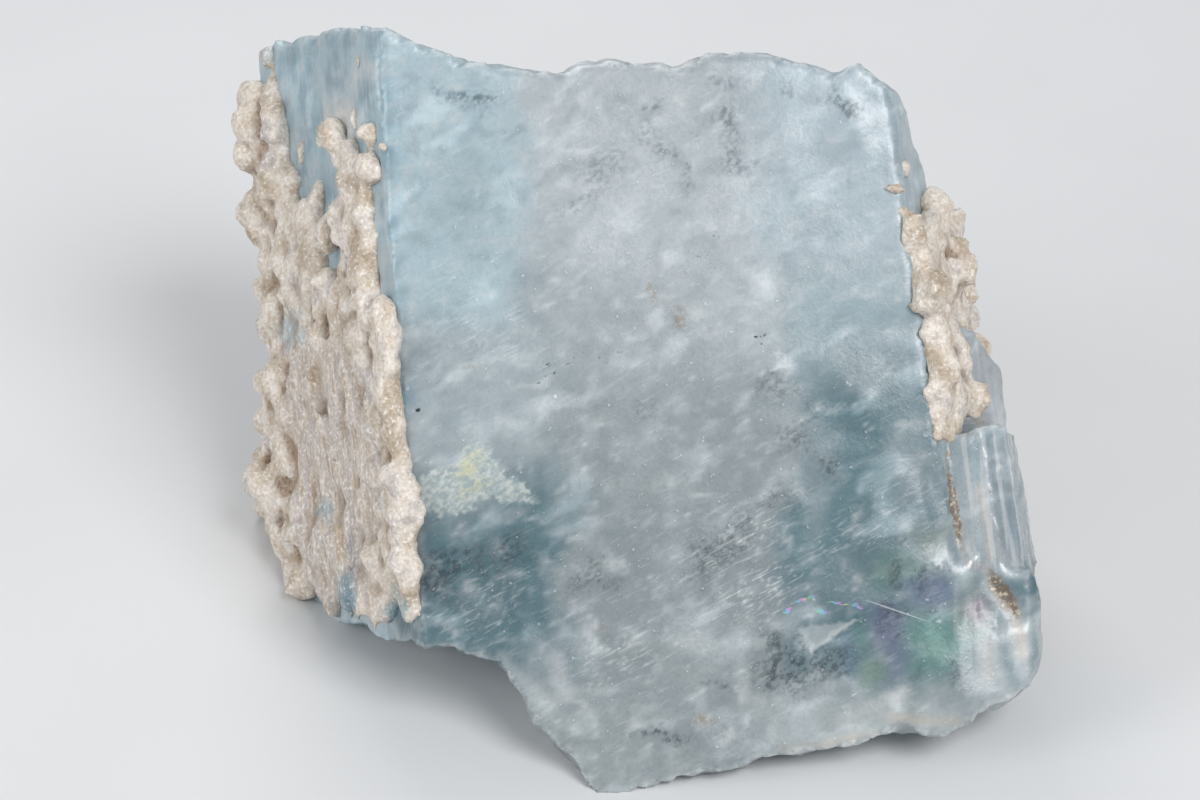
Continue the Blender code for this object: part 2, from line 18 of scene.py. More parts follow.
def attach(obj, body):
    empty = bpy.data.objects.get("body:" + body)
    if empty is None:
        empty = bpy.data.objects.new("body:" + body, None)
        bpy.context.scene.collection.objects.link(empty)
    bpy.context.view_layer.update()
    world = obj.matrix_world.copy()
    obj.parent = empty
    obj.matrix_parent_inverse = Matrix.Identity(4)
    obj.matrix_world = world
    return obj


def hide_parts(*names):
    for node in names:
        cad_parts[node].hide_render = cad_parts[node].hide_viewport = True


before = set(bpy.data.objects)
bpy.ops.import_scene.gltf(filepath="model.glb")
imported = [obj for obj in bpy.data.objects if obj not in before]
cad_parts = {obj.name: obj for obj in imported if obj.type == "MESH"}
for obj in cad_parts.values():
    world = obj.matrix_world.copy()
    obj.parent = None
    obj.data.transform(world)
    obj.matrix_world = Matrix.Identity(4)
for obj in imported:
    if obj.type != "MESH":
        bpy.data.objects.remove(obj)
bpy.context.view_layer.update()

MM = 0.001
LEAN_BACK = math.radians(33.0)
ORIGIN_SHIFT = Vector((-2.508, -37.701, -0.300))  # from the crystal's frame to the model's, in mm

TO_MODEL = (
    Matrix.Scale(MM, 4) @ Matrix.Translation(ORIGIN_SHIFT) @ Matrix.Rotation(-LEAN_BACK, 4, "X")
)
TO_CRYSTAL = TO_MODEL.inverted()

# Camera: square to the front face, as far off as a short telephoto stands.
CAMERA_DISTANCE = 333.0
CAMERA_AIM = Vector((0.0, 0.0, 39.7))
EYE = TO_MODEL @ (CAMERA_AIM - Vector((0.0, CAMERA_DISTANCE, 0.0)))  # in the model's frame
LENS, SENSOR = 100.0, 36.0

TOPAZ_VOXEL, ALBITE_VOXEL = 0.54, 0.49  # the spacing of the finer surfaces' vertices, in mm
TOPAZ_IOR, ALBITE_IOR = 1.62, 1.53
FAR = 99.0  # beyond the specimen on every side, in mm

NOISE_SEED, GROWN_SEED, PLACED_SEED = 2, 5, 11
noise.seed_set(NOISE_SEED)  # without it, the edges of the marks would follow the clock


# ---------------- meshes

def linked(name, mesh):
    obj = bpy.data.objects.new(name, mesh)
    bpy.context.scene.collection.objects.link(obj)
    return obj


def welded_copy(node):
    """Copy a CAD node's mesh as a bmesh, with its split vertices joined."""
    bm = bmesh.new()
    bm.from_mesh(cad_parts[node].data)
    bmesh.ops.remove_doubles(bm, verts=bm.verts, dist=0.01 * MM)
    return bm


def piece_from(bm, name):
    mesh = bpy.data.meshes.new(name)
    bm.to_mesh(mesh)
    bm.free()
    return linked(name, mesh)


def remesh(obj, voxel):
    """Give an object one even, closed surface in place of its overlapping solids."""
    modifier = obj.modifiers.new("Remesh", "REMESH")
    modifier.mode = "VOXEL"
    modifier.voxel_size = voxel * MM
    soften = obj.modifiers.new("Soften", "SMOOTH")
    soften.factor = 0.5
    soften.iterations = 1
    depsgraph = bpy.context.evaluated_depsgraph_get()
    mesh = bpy.data.meshes.new_from_object(obj.evaluated_get(depsgraph))
    obj.modifiers.clear()
    obj.data = mesh


def read_vectors(mesh, name):
    values = np.empty(len(mesh.vertices) * 3, np.float32)
    mesh.vertices.foreach_get(name, values)
    return values.reshape(-1, 3).astype(float)


def coordinates(mesh):
    """Return a mesh's vertices as an array of points, in the crystal's frame."""
    matrix = np.array(TO_CRYSTAL)
    return read_vectors(mesh, "co") @ matrix[:3, :3].T + matrix[:3, 3]


def normals(mesh):
    """Return a mesh's vertex normals, turned into the crystal's frame."""
    return read_vectors(mesh, "normal") @ np.array(Matrix.Rotation(LEAN_BACK, 3, "X")).T


def raise_surface(mesh, heights):
    """Move each vertex along its normal by its height in millimetres, but not below the floor."""
    points = read_vectors(mesh, "co") + read_vectors(mesh, "normal") * heights[:, None] * MM
    points[:, 2] = np.maximum(points[:, 2], 0.0)
    mesh.vertices.foreach_set("co", points.astype(np.float32).ravel())
    mesh.update()


def hollowness(mesh, rounds):
    """Return how far each vertex lies under the evened-out surface round it, in millimetres."""
    edges = np.empty(len(mesh.edges) * 2, np.int32)
    mesh.edges.foreach_get("vertices", edges)
    a, b = edges.reshape(-1, 2).T
    points = coordinates(mesh)
    size = len(points)
    count = np.bincount(a, minlength=size) + np.bincount(b, minlength=size) + 1
    even = points.T
    for _ in range(rounds):
        spread = [np.bincount(a, row[b], size) + np.bincount(b, row[a], size) for row in even]
        even = (even + np.array(spread)) / count
    return ((even.T - points) * normals(mesh)).sum(1)


def keep_number(mesh, name, values):
    """Store one number for each vertex, for the material to read."""
    layer = mesh.attributes.new(name, "FLOAT", "POINT")
    layer.data.foreach_set("value", values.astype(np.float32))


def keep_colour(mesh, name, colours):
    """Store one colour for each vertex, for the material to read."""
    layer = mesh.attributes.new(name, "FLOAT_COLOR", "POINT")
    opaque = np.hstack((colours, np.ones((len(colours), 1))))
    layer.data.foreach_set("color", opaque.astype(np.float32).ravel())


# ---------------- fields over a surface

def smooth(values, low, high):
    """Go smoothly from 0 at low to 1 at high; low may be above high."""
    share = np.clip((values - low) / (high - low), 0.0, 1.0)
    return share * share * (3.0 - 2.0 * share)


def noise_at(points, scale):
    """Return noise from -1 to 1, at points scaled by one number or by three."""
    return np.array([noise.noise(Vector(p)) for p in points * np.array(scale)])


def cloud_at(points, scale, octaves=3):
    """Return layered noise, roughly from -1 to 1."""
    scaled = points * np.array(scale)
    return np.array([noise.fractal(Vector(p), 0.8, 2.1, octaves) for p in scaled])


def seen(points):
    """Return points moved along their sight lines to the front's plane."""
    share = CAMERA_DISTANCE / (CAMERA_DISTANCE + points[:, 1:2])
    aim = np.array(CAMERA_AIM)
    return aim + (points - aim) * share


def wandering(points, size, amount):
    """Return points pushed about by noise, so that edges drawn with them wander."""
    return points + amount * np.array([noise.noise_vector(Vector(p)) for p in points / size])


def oval(points, x, z, wide, tall, turn=0.0, soft=0.8):
    """Return 1 inside an oval on the front, falling smoothly to 0 at its rim."""
    right, up = points[:, 0] - x, points[:, 2] - z
    c, s = math.cos(math.radians(turn)), math.sin(math.radians(turn))
    reach = np.hypot((right * c + up * s) / wide, (up * c - right * s) / tall)
    return smooth(reach, 1.0, 1.0 - soft)


def ovals(points, shapes):
    """Return the strongest of several ovals, each given with its strength."""
    return np.max([shape[5] * oval(points, *shape[:5]) for shape in shapes], axis=0)


def along(points, x0, z0, x1, z1, half):
    """Return 1 on a straight line over the front, falling smoothly to 0 at this half width."""
    run, rise = x1 - x0, z1 - z0
    share = ((points[:, 0] - x0) * run + (points[:, 2] - z0) * rise) / (run * run + rise * rise)
    share = np.clip(share, 0.0, 1.0)
    reach = np.hypot(points[:, 0] - x0 - share * run, points[:, 2] - z0 - share * rise)
    return smooth(reach, half, 0.0)


def inside(points, corners, soft):
    """Return 1 inside a shape with straight sides, named clockwise, falling to 0 at its rim."""
    depth = np.full(len(points), FAR)
    for (x0, z0), (x1, z1) in zip(corners, corners[1:] + corners[:1]):
        away = (points[:, 0] - x0) * (z1 - z0) - (points[:, 2] - z0) * (x1 - x0)
        depth = np.minimum(depth, away / math.hypot(x1 - x0, z1 - z0))
    return smooth(depth, 0.0, soft)


def srgb(red, green, blue):
    """Turn a colour given as 0 to 255 into the linear values that a shader takes."""
    def linear(value):
        value /= 255.0
        return value / 12.92 if value <= 0.04045 else ((value + 0.055) / 1.055) ** 2.4
    return (linear(red), linear(green), linear(blue), 1.0)


def paint(colours, mask, colour):
    """Blend a colour, given as 0 to 255, over each vertex's own by the mask."""
    target = np.array(srgb(*colour)[:3])
    return colours + (target - colours) * mask[:, None]


# ---------------- the crystal

# Clear windows in the milky front: middle x and z, half width, half height, turn, strength.
WINDOWS = (
    (24.6, 69.6, 2.2, 3.4, 25, 1.0),
    (19.0, 70.6, 1.4, 1.0, -40, 0.8),
    (12.2, 70.2, 1.8, 1.6, 0, 0.6),
    (12.6, 67.0, 2.0, 1.8, -60, 0.8),
    (13.4, 64.2, 2.4, 1.8, 0, 0.7),
    (5.3, 69.1, 1.6, 1.4, 0, 0.8),
    (6.2, 65.6, 4.0, 1.4, -35, 0.6),
    (8.6, 63.2, 1.8, 1.0, -40, 0.7),
    (1.0, 63.0, 3.4, 2.4, 30, 0.5),
    (-2.0, 60.0, 3.4, 1.6, 30, 0.4),
    (-13.2, 69.6, 4.2, 1.6, -25, 0.9),
    (19.6, 13.4, 5.2, 4.4, 0, 1.0),
    (17.6, 15.4, 2.4, 2.2, 0, 0.8),
    (23.8, 13.2, 2.8, 3.0, 0, 0.9),
    (29.6, 21.6, 1.5, 1.9, 0, 1.0),
    (34.4, 22.6, 1.6, 1.1, 0, 1.0),
    (33.2, 18.6, 1.2, 1.5, 0, 1.0),
    (34.2, 17.2, 0.8, 0.7, 0, 1.0),
    (28.2, 17.8, 1.6, 1.4, 0, 0.8),
    (30.6, 15.2, 1.6, 0.7, 60, 0.9),
    (32.0, 10.9, 1.1, 0.5, 30, 0.9),
    (35.6, 12.2, 1.6, 0.6, 20, 0.9),
    (12.8, 25.2, 6.4, 3.0, 28, 0.9),
    (17.4, 30.0, 3.6, 2.4, 20, 0.6),
    (-15.0, 22.6, 5.2, 3.8, 20, 0.9),
    (-9.0, 24.0, 4.4, 2.8, 20, 0.7),
    (6.6, 6.2, 5.2, 0.9, -8, 1.0),
    (-1.0, 21.8, 4.2, 1.4, 28, 0.6),
    (12.0, 10.9, 2.2, 0.8, 0, 0.8),
    (18.0, 40.8, 3.0, 1.8, 0, 0.6),
    (21.5, 38.4, 3.2, 1.8, 20, 0.6),
    (19.6, 35.6, 3.0, 2.4, 0, 0.8),
    (23.2, 33.6, 3.0, 2.4, 30, 0.8),
    (4.4, 38.4, 1.8, 1.6, 60, 0.5),
    (29.8, 26.0, 2.6, 1.2, 20, 0.6),
    (33.0, 21.6, 2.2, 2.6, 0, 0.8),
    (29.0, 17.0, 2.6, 1.8, 0, 0.7),
)

# White scratched strips: as the windows.
SCRATCHES = (
    (13.5, 25.5, 10.0, 3.8, 28, 0.9),
    (17.0, 20.6, 9.0, 3.8, 28, 1.0),
    (26.0, 26.5, 9.0, 2.2, 28, 0.7),
    (-12.0, 19.0, 8.0, 5.0, 40, 0.6),
    (2.0, 14.0, 9.0, 4.0, 30, 0.7),
    (30.0, 30.5, 7.0, 3.0, 25, 0.5),
    (-12.0, 46.0, 9.0, 2.4, -10, 0.6),
    (-15.0, 52.0, 4.0, 4.0, 60, 0.5),
)

# A pale fibrous patch beside the crust, and its yellow parts: as the windows.
FELT = (
    (-15.2, 30.4, 6.0, 3.4, 8, 1.0),
    (-12.4, 32.2, 3.6, 4.4, -10, 1.0),
    (-9.0, 30.7, 4.4, 1.6, -22, 1.0),
)
YELLOW = ((-13.0, 33.4, 2.4, 1.8, 45, 1.0), (-12.4, 30.8, 2.4, 1.3, 10, 1.0))

# Black specks on the front: x, z and half size.
SPECKS = (
    (-19.7, 26.5, 0.26),
    (-18.2, 38.7, 0.26),
    (-18.5, 29.8, 0.14),
    (9.9, 54.0, 0.12),
    (11.3, 56.0, 0.10),
    (15.6, 46.1, 0.16),
    (-5.2, 43.3, 0.14),
)

# Brown stains: as the windows.
STAINS = (
    (10.5, 7.9, 1.8, 0.8, 0, 0.8),
    (0.0, 17.2, 1.4, 0.6, 10, 0.7),
    (5.4, 50.0, 1.6, 0.4, -65, 1.0),
    (8.0, 48.0, 1.4, 0.7, -50, 0.9),
    (-13.0, 43.0, 1.4, 0.7, 30, 0.5),
    (38.0, 38.0, 1.8, 0.9, 20, 0.8),
    (37.6, 40.4, 0.8, 1.4, 0, 0.7),
)

# Strips peppered with fine dark grains: as the windows.
PEPPERED = (
    (-4.6, 42.6, 4.0, 1.0, 27, 1.0),
    (1.0, 44.2, 2.2, 0.8, 10, 0.7),
    (15.2, 46.1, 2.6, 1.0, -25, 1.0),
    (5.0, 38.7, 1.4, 1.5, 60, 0.9),
    (12.4, 38.8, 1.4, 0.5, 15, 0.8),
    (5.3, 41.1, 0.6, 1.4, 30, 0.8),
    (10.5, 53.6, 5.0, 3.0, 30, 0.45),
    (-19.0, 32.0, 1.0, 8.0, 0, 0.4),
    (26.0, 44.0, 5.0, 2.0, 0, 0.45),
)

# Colour of the body, laid one over another: left, right, bottom and top edge, how soft across and
# up, the colour, and how clear the crystal is there.
BODY_ZONES = (
    (-FAR, FAR, -FAR, FAR, 1.0, 1.0, (147, 157, 160), 0.30),
    (-FAR, FAR, 44.0, FAR, 1.0, 14.0, (183, 191, 195), 0.28),
    (-FAR, FAR, -FAR, 13.0, 1.0, 5.0, (160, 169, 171), 0.32),
    (-FAR, -7.5, 44.0, FAR, 2.4, 5.0, (189, 212, 221), 0.38),
    (-FAR, -5.0, 34.0, 48.0, 4.0, 3.5, (174, 187, 192), 0.34),
    (-FAR, -3.0, 12.0, 32.0, 2.0, 3.5, (95, 134, 145), 0.50),
    (15.8, FAR, 53.0, FAR, 3.0, 4.0, (184, 200, 208), 0.34),
    (18.5, FAR, 42.0, 53.0, 3.4, 4.0, (168, 189, 197), 0.38),
    (18.8, FAR, 12.0, 43.0, 2.2, 4.5, (98, 137, 148), 0.48),
    (16.0, FAR, -FAR, 9.5, 6.0, 3.0, (172, 181, 183), 0.30),
    (37.5, FAR, -FAR, 18.0, 2.4, 3.0, (190, 199, 202), 0.32),
    (35.0, FAR, 22.5, FAR, 0.5, 1.0, (184, 201, 209), 0.48),
    (36.5, FAR, 36.0, 46.0, 0.8, 0.8, (190, 196, 201), 0.40),
    (-FAR, -19.8, -FAR, FAR, 0.8, 1.0, (180, 210, 221), 0.42),
)

# Colours of a thin film in a crack near the lower right, painted iridescence: an oval, its colour
# and its strength.
FILM = (
    (25.2, 13.6, 1.8, 4.0, 0, (92, 132, 160), 0.60),
    (26.2, 16.2, 1.3, 3.4, 0, (76, 128, 118), 0.65),
    (27.2, 12.6, 1.8, 3.2, 0, (112, 152, 122), 0.55),
    (29.0, 15.8, 3.4, 5.6, 10, (128, 128, 168), 0.70),
    (33.4, 15.4, 5.2, 5.2, 0, (98, 160, 146), 0.75),
    (29.4, 22.4, 4.4, 3.8, 0, (122, 158, 138), 0.50),
    (33.6, 20.4, 5.4, 2.6, -8, (128, 140, 184), 0.60),
    (33.2, 25.8, 3.4, 2.6, 0, (156, 164, 144), 0.45),
    (36.8, 18.8, 3.2, 5.4, 0, (160, 176, 164), 0.65),
    (37.6, 18.6, 1.9, 2.6, 0, (168, 140, 164), 0.65),
)

# Frosted and shadowed patches on the left flank, seen square to the front: as the film.
FLANK_PATCHES = (
    (-24.2, 72.0, 1.3, 4.0, -18, (228, 230, 230), 0.8),
    (-26.0, 67.6, 2.6, 3.6, -10, (232, 229, 222), 0.9),
    (-30.2, 66.0, 1.6, 3.0, 0, (206, 216, 222), 0.6),
    (-26.9, 71.6, 1.8, 2.4, 0, (98, 138, 158), 0.6),
    (-23.2, 70.0, 1.0, 2.6, 0, (96, 132, 152), 0.6),
    (-20.2, 71.2, 2.4, 2.0, 20, (120, 158, 182), 0.6),
    (-27.6, 61.0, 1.6, 3.4, 0, (118, 156, 174), 0.6),
    (-22.4, 59.6, 1.0, 4.0, 0, (214, 224, 228), 0.5),
    (-19.6, 28.4, 0.9, 3.4, 0, (180, 196, 200), 0.6),
)

# Stripes on the side prism, the corner and the bottom: their ends, half width, colour, strength.
STRIPES = (
    (35.6, 30.5, 36.8, 23.4, 0.55, (214, 213, 211), 0.9),
    (36.8, 23.3, 38.8, 22.9, 0.60, (214, 213, 213), 0.9),
    (36.7, 33.5, 37.5, 24.9, 0.50, (222, 220, 218), 0.6),
    (38.1, 31.1, 39.0, 23.9, 0.70, (226, 216, 208), 0.9),
    (39.4, 34.6, 40.3, 25.5, 1.60, (206, 208, 214), 0.8),
    (41.5, 32.4, 42.0, 29.0, 0.50, (226, 218, 212), 0.8),
    (41.0, 24.6, 43.4, 22.2, 1.60, (214, 211, 214), 0.9),
    (38.6, 15.2, 38.9, 12.4, 1.40, (212, 211, 208), 0.8),
    (40.4, 15.0, 41.6, 11.4, 1.20, (128, 152, 160), 0.7),
    (41.6, 17.4, 42.4, 14.2, 1.00, (218, 211, 203), 0.8),
    (43.8, 15.4, 43.9, 13.4, 0.90, (98, 134, 136), 0.7),
    (24.4, 7.4, 30.5, 10.4, 1.40, (204, 207, 204), 0.6),
    (18.0, 4.4, 29.0, 6.4, 0.90, (200, 193, 180), 0.7),
    (29.0, 8.0, 36.0, 7.4, 0.90, (196, 188, 174), 0.6),
    (-10.0, 13.6, -5.0, 9.0, 1.50, (202, 210, 212), 0.7),
    (-4.2, 13.8, -3.6, 10.2, 1.50, (212, 217, 219), 0.7),
    (-18.2, 26.0, -18.0, 19.4, 1.00, (200, 207, 209), 0.7),
)

# A pale flat chip on the front, clockwise from its upper left corner.
CHIP = ((19.4, 17.1), (26.5, 18.1), (21.0, 14.1))
CHIP_DEPTH = 0.20
CHIP_BRINK = (23.9, 16.4, 3.6, 0.7, 36)  # the lit lower edge of the chip, as a window

# Grooves on the lower right: their ends, half width and depth, in mm.
GROOVES = (
    (34.8, 33.2, 36.3, 24.6, 0.8, 0.15),
    (38.5, 22.9, 42.0, 17.7, 1.3, 0.40),
)

# The rust that fills them, as windows: the seam beside the prism and the notch below it.
RUSTY_SEAM, RUSTY_NOTCH = (35.5, 29.0, 0.65, 5.6, 9.0), (40.4, 20.2, 1.25, 3.8, 33.0)

# The small side prism's left edge, and its top and bottom.
PRISM_LEFT, PRISM_TOP, PRISM_BOTTOM = 35.2, 36.0, 22.9


def crystal_sides(points, outward):
    """Return how far each vertex is on the front, on a side along the prism, or on a break."""
    front = smooth(-outward[:, 1], 0.72, 0.94) * smooth(points[:, 1], 7.0, 4.0)
    broken = smooth(np.abs(outward[:, 2]), 0.30, 0.70) * (1.0 - front)
    side = (1.0 - front) * (1.0 - broken)
    return front, side, broken


def front_edge(front, broken):
    """Return 1 along the edges where the front meets a side, falling to 0 away from them."""
    return 4.0 * front * (1.0 - front) * (1.0 - broken)


def crystal_relief(points, front, side, broken):
    """Fine relief: grooves along the sides, chips on the breaks, shallow etching in front."""
    leaning = points.copy()
    leaning[:, 0] += 0.1 * points[:, 2]
    groove = noise_at(leaning, (1.7, 1.7, 0.05)) + 0.5 * noise_at(leaning, (3.0, 3.0, 0.09))
    rough = cloud_at(points, 0.45)
    chip = 1.0 - 2.0 * np.abs(noise_at(points, (0.55, 0.4, 0.55)))
    swell = noise_at(points, (0.12, 0.12, 0.12))
    jagged = noise_at(points, (1.2, 1.0, 1.2)) * smooth(points[:, 1], 9.0, 4.0)
    prism = smooth(points[:, 0], PRISM_LEFT - 0.6, PRISM_LEFT)
    prism *= smooth(points[:, 2], PRISM_TOP + 1.0, PRISM_TOP)
    ribs = noise_at(leaning, (1.2, 0.6, 0.03))
    nick = front_edge(front, broken) * smooth(noise_at(points, (0.9, 0.9, 0.55)), -0.1, 0.5)
    cut = CHIP_DEPTH * inside(points, CHIP, 0.6)
    for x0, z0, x1, z1, half, depth in GROOVES:
        cut += depth * along(points, x0, z0, x1, z1, half)
    return (
        side * (0.05 * groove + 0.16 * rough)
        + front * (0.02 * rough + 0.06 * swell + prism * 0.22 * ribs - cut)
        + broken * (0.20 * rough + 0.22 * chip + 0.16 * jagged)
        - 0.30 * nick
    )


def crystal_body(points, front):
    """Return the colour of the body and how clear it is: bands of blue run along the prism."""
    x, y, z = wandering(wandering(points, 8.0, 3.0), 2.6, 0.8).T
    x = x + 0.12 * y
    colours, clarity = np.zeros((len(points), 3)), np.zeros(len(points))
    for left, right, bottom, top, across, up, colour, clear in BODY_ZONES:
        mask = smooth(x, left - across, left + across) * smooth(x, right + across, right - across)
        mask *= smooth(z, bottom - up, bottom + up) * smooth(z, top + up, top - up)
        colours = paint(colours, mask, colour)
        clarity += (clear - clarity) * mask
    mottle = cloud_at(points, (0.40, 0.30, 0.24))
    flank = smooth(x, -18.0, -21.0)
    colours = paint(colours, 0.55 * flank * smooth(mottle, 0.0, 0.6), (112, 152, 172))
    colours = paint(colours, 0.60 * flank * smooth(mottle, -0.1, -0.7), (214, 222, 226))
    cloud = cloud_at(points, (0.10, 0.05, 0.08), 4)
    slanted = wandering(points, 4.0, 2.0)
    slanted[:, 2] -= 0.45 * slanted[:, 0]
    veil = smooth(cloud_at(slanted, (0.16, 0.05, 0.30), 4), 0.1, 0.8)
    mottle = cloud_at(points, (0.45, 0.25, 0.55))
    crest = 1.0 - 2.0 * np.abs(noise_at(slanted, (0.20, 0.08, 0.42)))
    crest = smooth(crest, 0.82, 0.98) * smooth(mottle, -0.2, 0.5)
    colours = paint(colours, 0.35 * smooth(cloud, 0.0, 0.7), (206, 214, 218))
    colours = paint(colours, 0.30 * smooth(cloud, 0.0, -0.7), (136, 150, 158))
    colours = paint(colours, 0.30 * smooth(mottle, 0.1, 0.7), (210, 217, 220))
    colours = paint(colours, 0.28 * smooth(mottle, -0.1, -0.7), (126, 142, 150))
    colours = paint(colours, 0.20 * veil + 0.45 * crest, (224, 230, 232))
    near = wandering(points, 3.0, 1.0)
    # Painted iridescence: the thin film's reflected colours are laid into the body's colour.
    for *place, colour, strength in FILM:
        colours = paint(colours, strength * front * oval(near, *place, 1.0), colour)
    ragged = wandering(seen(points), 1.6, 1.2)
    for *place, colour, strength in FLANK_PATCHES:
        colours = paint(colours, strength * flank * oval(ragged, *place, 1.0), colour)
    straight = wandering(points, 2.0, 0.3)
    for *line, colour, strength in STRIPES:
        colours = paint(colours, strength * front * along(straight, *line), colour)
    return colours, clarity * (1.0 - 0.4 * veil)


def crystal_marks(points, front):
    """Return each mark's strength at each vertex, by name."""
    near = wandering(points, 2.4, 0.9)
    ragged = wandering(wandering(points, 4.0, 2.2), 1.3, 0.9)
    leaning = points[:, 0] + 0.11 * (points[:, 2] - PRISM_TOP)
    prism = smooth(leaning, PRISM_LEFT - 0.6, PRISM_LEFT + 0.1)
    prism *= smooth(points[:, 2], PRISM_TOP + 0.8, PRISM_TOP - 0.2)
    prism *= smooth(points[:, 2], PRISM_BOTTOM - 0.6, PRISM_BOTTOM + 0.2)
    return {
        "window": ovals(ragged, WINDOWS) * front,
        "scratched": ovals(wandering(points, 5.0, 1.6), SCRATCHES) * front,
        "peppered": ovals(wandering(points, 1.5, 0.9), PEPPERED) * front,
        "felt": ovals(near, FELT) * front,
        "yellow": ovals(near, YELLOW) * front,
        "stain": ovals(near, STAINS) * smooth(points[:, 1], 20.0, 14.0),
        "prism": prism,
    }


def topaz_piece():
    piece = piece_from(welded_copy("topaz_crystal"), "topaz")
    remesh(piece, TOPAZ_VOXEL)
    mesh = piece.data
    points = coordinates(mesh)
    front, side, broken = crystal_sides(points, normals(mesh))
    raise_surface(mesh, crystal_relief(points, front, side, broken))
    tint, clarity = crystal_body(points, front)
    ends = smooth(np.abs(normals(mesh)[:, 2]), 0.15, 0.5)
    marks = crystal_marks(points, front)
    marks.update(
        side=side,
        broken=broken,
        clarity=clarity,
        edge=front_edge(front, broken),
        shallow=smooth(points[:, 1], 16.0, 12.0),
        worn=ends * smooth(-hollowness(mesh, 6), 0.06, 0.28),
    )
    for name, values in marks.items():
        keep_number(mesh, name, values)
    keep_colour(mesh, "tint", tint)
    dress(piece, topaz_material(), "topaz_crystal")


def dress(piece, material, node):
    """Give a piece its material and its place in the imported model."""
    piece.data.shade_smooth()
    piece.data.materials.clear()
    piece.data.materials.append(material)
    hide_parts(node)
    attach(piece, "root")


# ---------------- the albite

# Nodules that stand out on the two sides, as seen square to the front: x and z on the front's
# plane, half width and half height.
LEFT_NODULES = (
    (-33.2, 74.1, 1.4, 1.1), (-32.4, 71.4, 1.0, 1.3), (-34.5, 70.1, 1.1, 1.2),
    (-34.8, 68.1, 1.1, 1.2), (-32.7, 68.6, 1.4, 1.1), (-32.7, 66.3, 1.4, 1.1),
    (-29.8, 64.4, 0.8, 1.5), (-33.0, 63.4, 1.3, 1.3), (-30.3, 61.7, 1.2, 1.2),
    (-27.7, 60.8, 0.7, 1.1), (-26.4, 66.8, 0.9, 1.4), (-27.1, 65.8, 0.8, 1.1),
    (-24.5, 67.8, 0.7, 1.3), (-24.0, 72.9, 0.3, 1.3), (-22.7, 66.3, 1.0, 1.1),
    (-21.6, 64.9, 0.7, 0.5), (-23.1, 62.6, 1.5, 1.6), (-25.1, 60.0, 0.9, 1.9),
    (-33.3, 59.7, 0.9, 1.1), (-34.4, 57.3, 0.9, 1.5), (-28.9, 58.2, 0.9, 1.5),
    (-26.8, 58.4, 0.8, 1.3), (-27.3, 55.7, 1.2, 1.7), (-29.3, 53.7, 1.0, 1.2),
    (-27.3, 51.8, 1.5, 1.5), (-24.6, 53.0, 0.9, 2.2), (-22.4, 56.2, 0.9, 1.0),
    (-22.4, 53.3, 0.9, 1.2), (-23.9, 49.8, 0.9, 1.2), (-21.8, 48.5, 1.3, 1.9),
    (-33.5, 49.5, 0.7, 1.0), (-32.8, 47.7, 0.7, 1.0), (-28.0, 48.3, 0.8, 1.0),
    (-26.5, 47.2, 1.0, 1.0), (-25.9, 45.4, 1.2, 1.3), (-24.8, 46.9, 0.6, 0.9),
    (-28.2, 46.1, 1.0, 1.4), (-21.3, 42.8, 1.2, 1.3), (-25.5, 43.1, 1.0, 1.2),
    (-32.8, 41.7, 1.1, 2.0), (-33.2, 38.2, 1.0, 0.9), (-33.3, 36.0, 0.9, 1.0),
    (-31.7, 34.7, 1.2, 1.2), (-29.8, 40.7, 0.8, 1.3), (-29.7, 34.3, 0.8, 1.4),
    (-20.9, 39.2, 1.2, 1.7), (-20.5, 32.7, 1.2, 2.2), (-20.2, 27.6, 1.1, 1.1),
    (-19.0, 28.2, 1.1, 0.8), (-23.6, 28.7, 1.4, 2.0), (-24.7, 30.8, 0.6, 0.8),
    (-33.4, 31.5, 1.3, 1.3), (-33.8, 29.0, 0.7, 1.2), (-31.8, 29.6, 0.7, 0.7),
    (-32.4, 26.2, 0.9, 2.6), (-29.8, 26.3, 1.7, 1.5), (-28.9, 24.1, 1.1, 1.1),
    (-30.8, 23.0, 0.7, 1.2), (-29.8, 20.9, 1.4, 1.3), (-28.9, 22.1, 1.1, 0.8),
    (-26.4, 26.4, 0.9, 1.0), (-27.7, 21.9, 0.6, 1.2), (-27.2, 19.2, 0.7, 1.2),
    (-20.1, 23.7, 1.2, 1.4), (-23.2, 24.2, 1.0, 1.2), (-23.7, 20.3, 0.9, 1.9),
    (-19.1, 20.9, 0.8, 1.3), (-32.2, 41.8, 1.7, 2.2), (-32.3, 37.4, 2.0, 1.9),
    (-31.3, 33.6, 1.9, 2.0), (-33.0, 30.0, 1.7, 2.4), (-30.4, 25.9, 1.9, 2.2),
    (-29.4, 21.4, 1.6, 1.8), (-33.4, 61.6, 1.5, 1.8), (-33.0, 52.4, 1.3, 1.8),
)
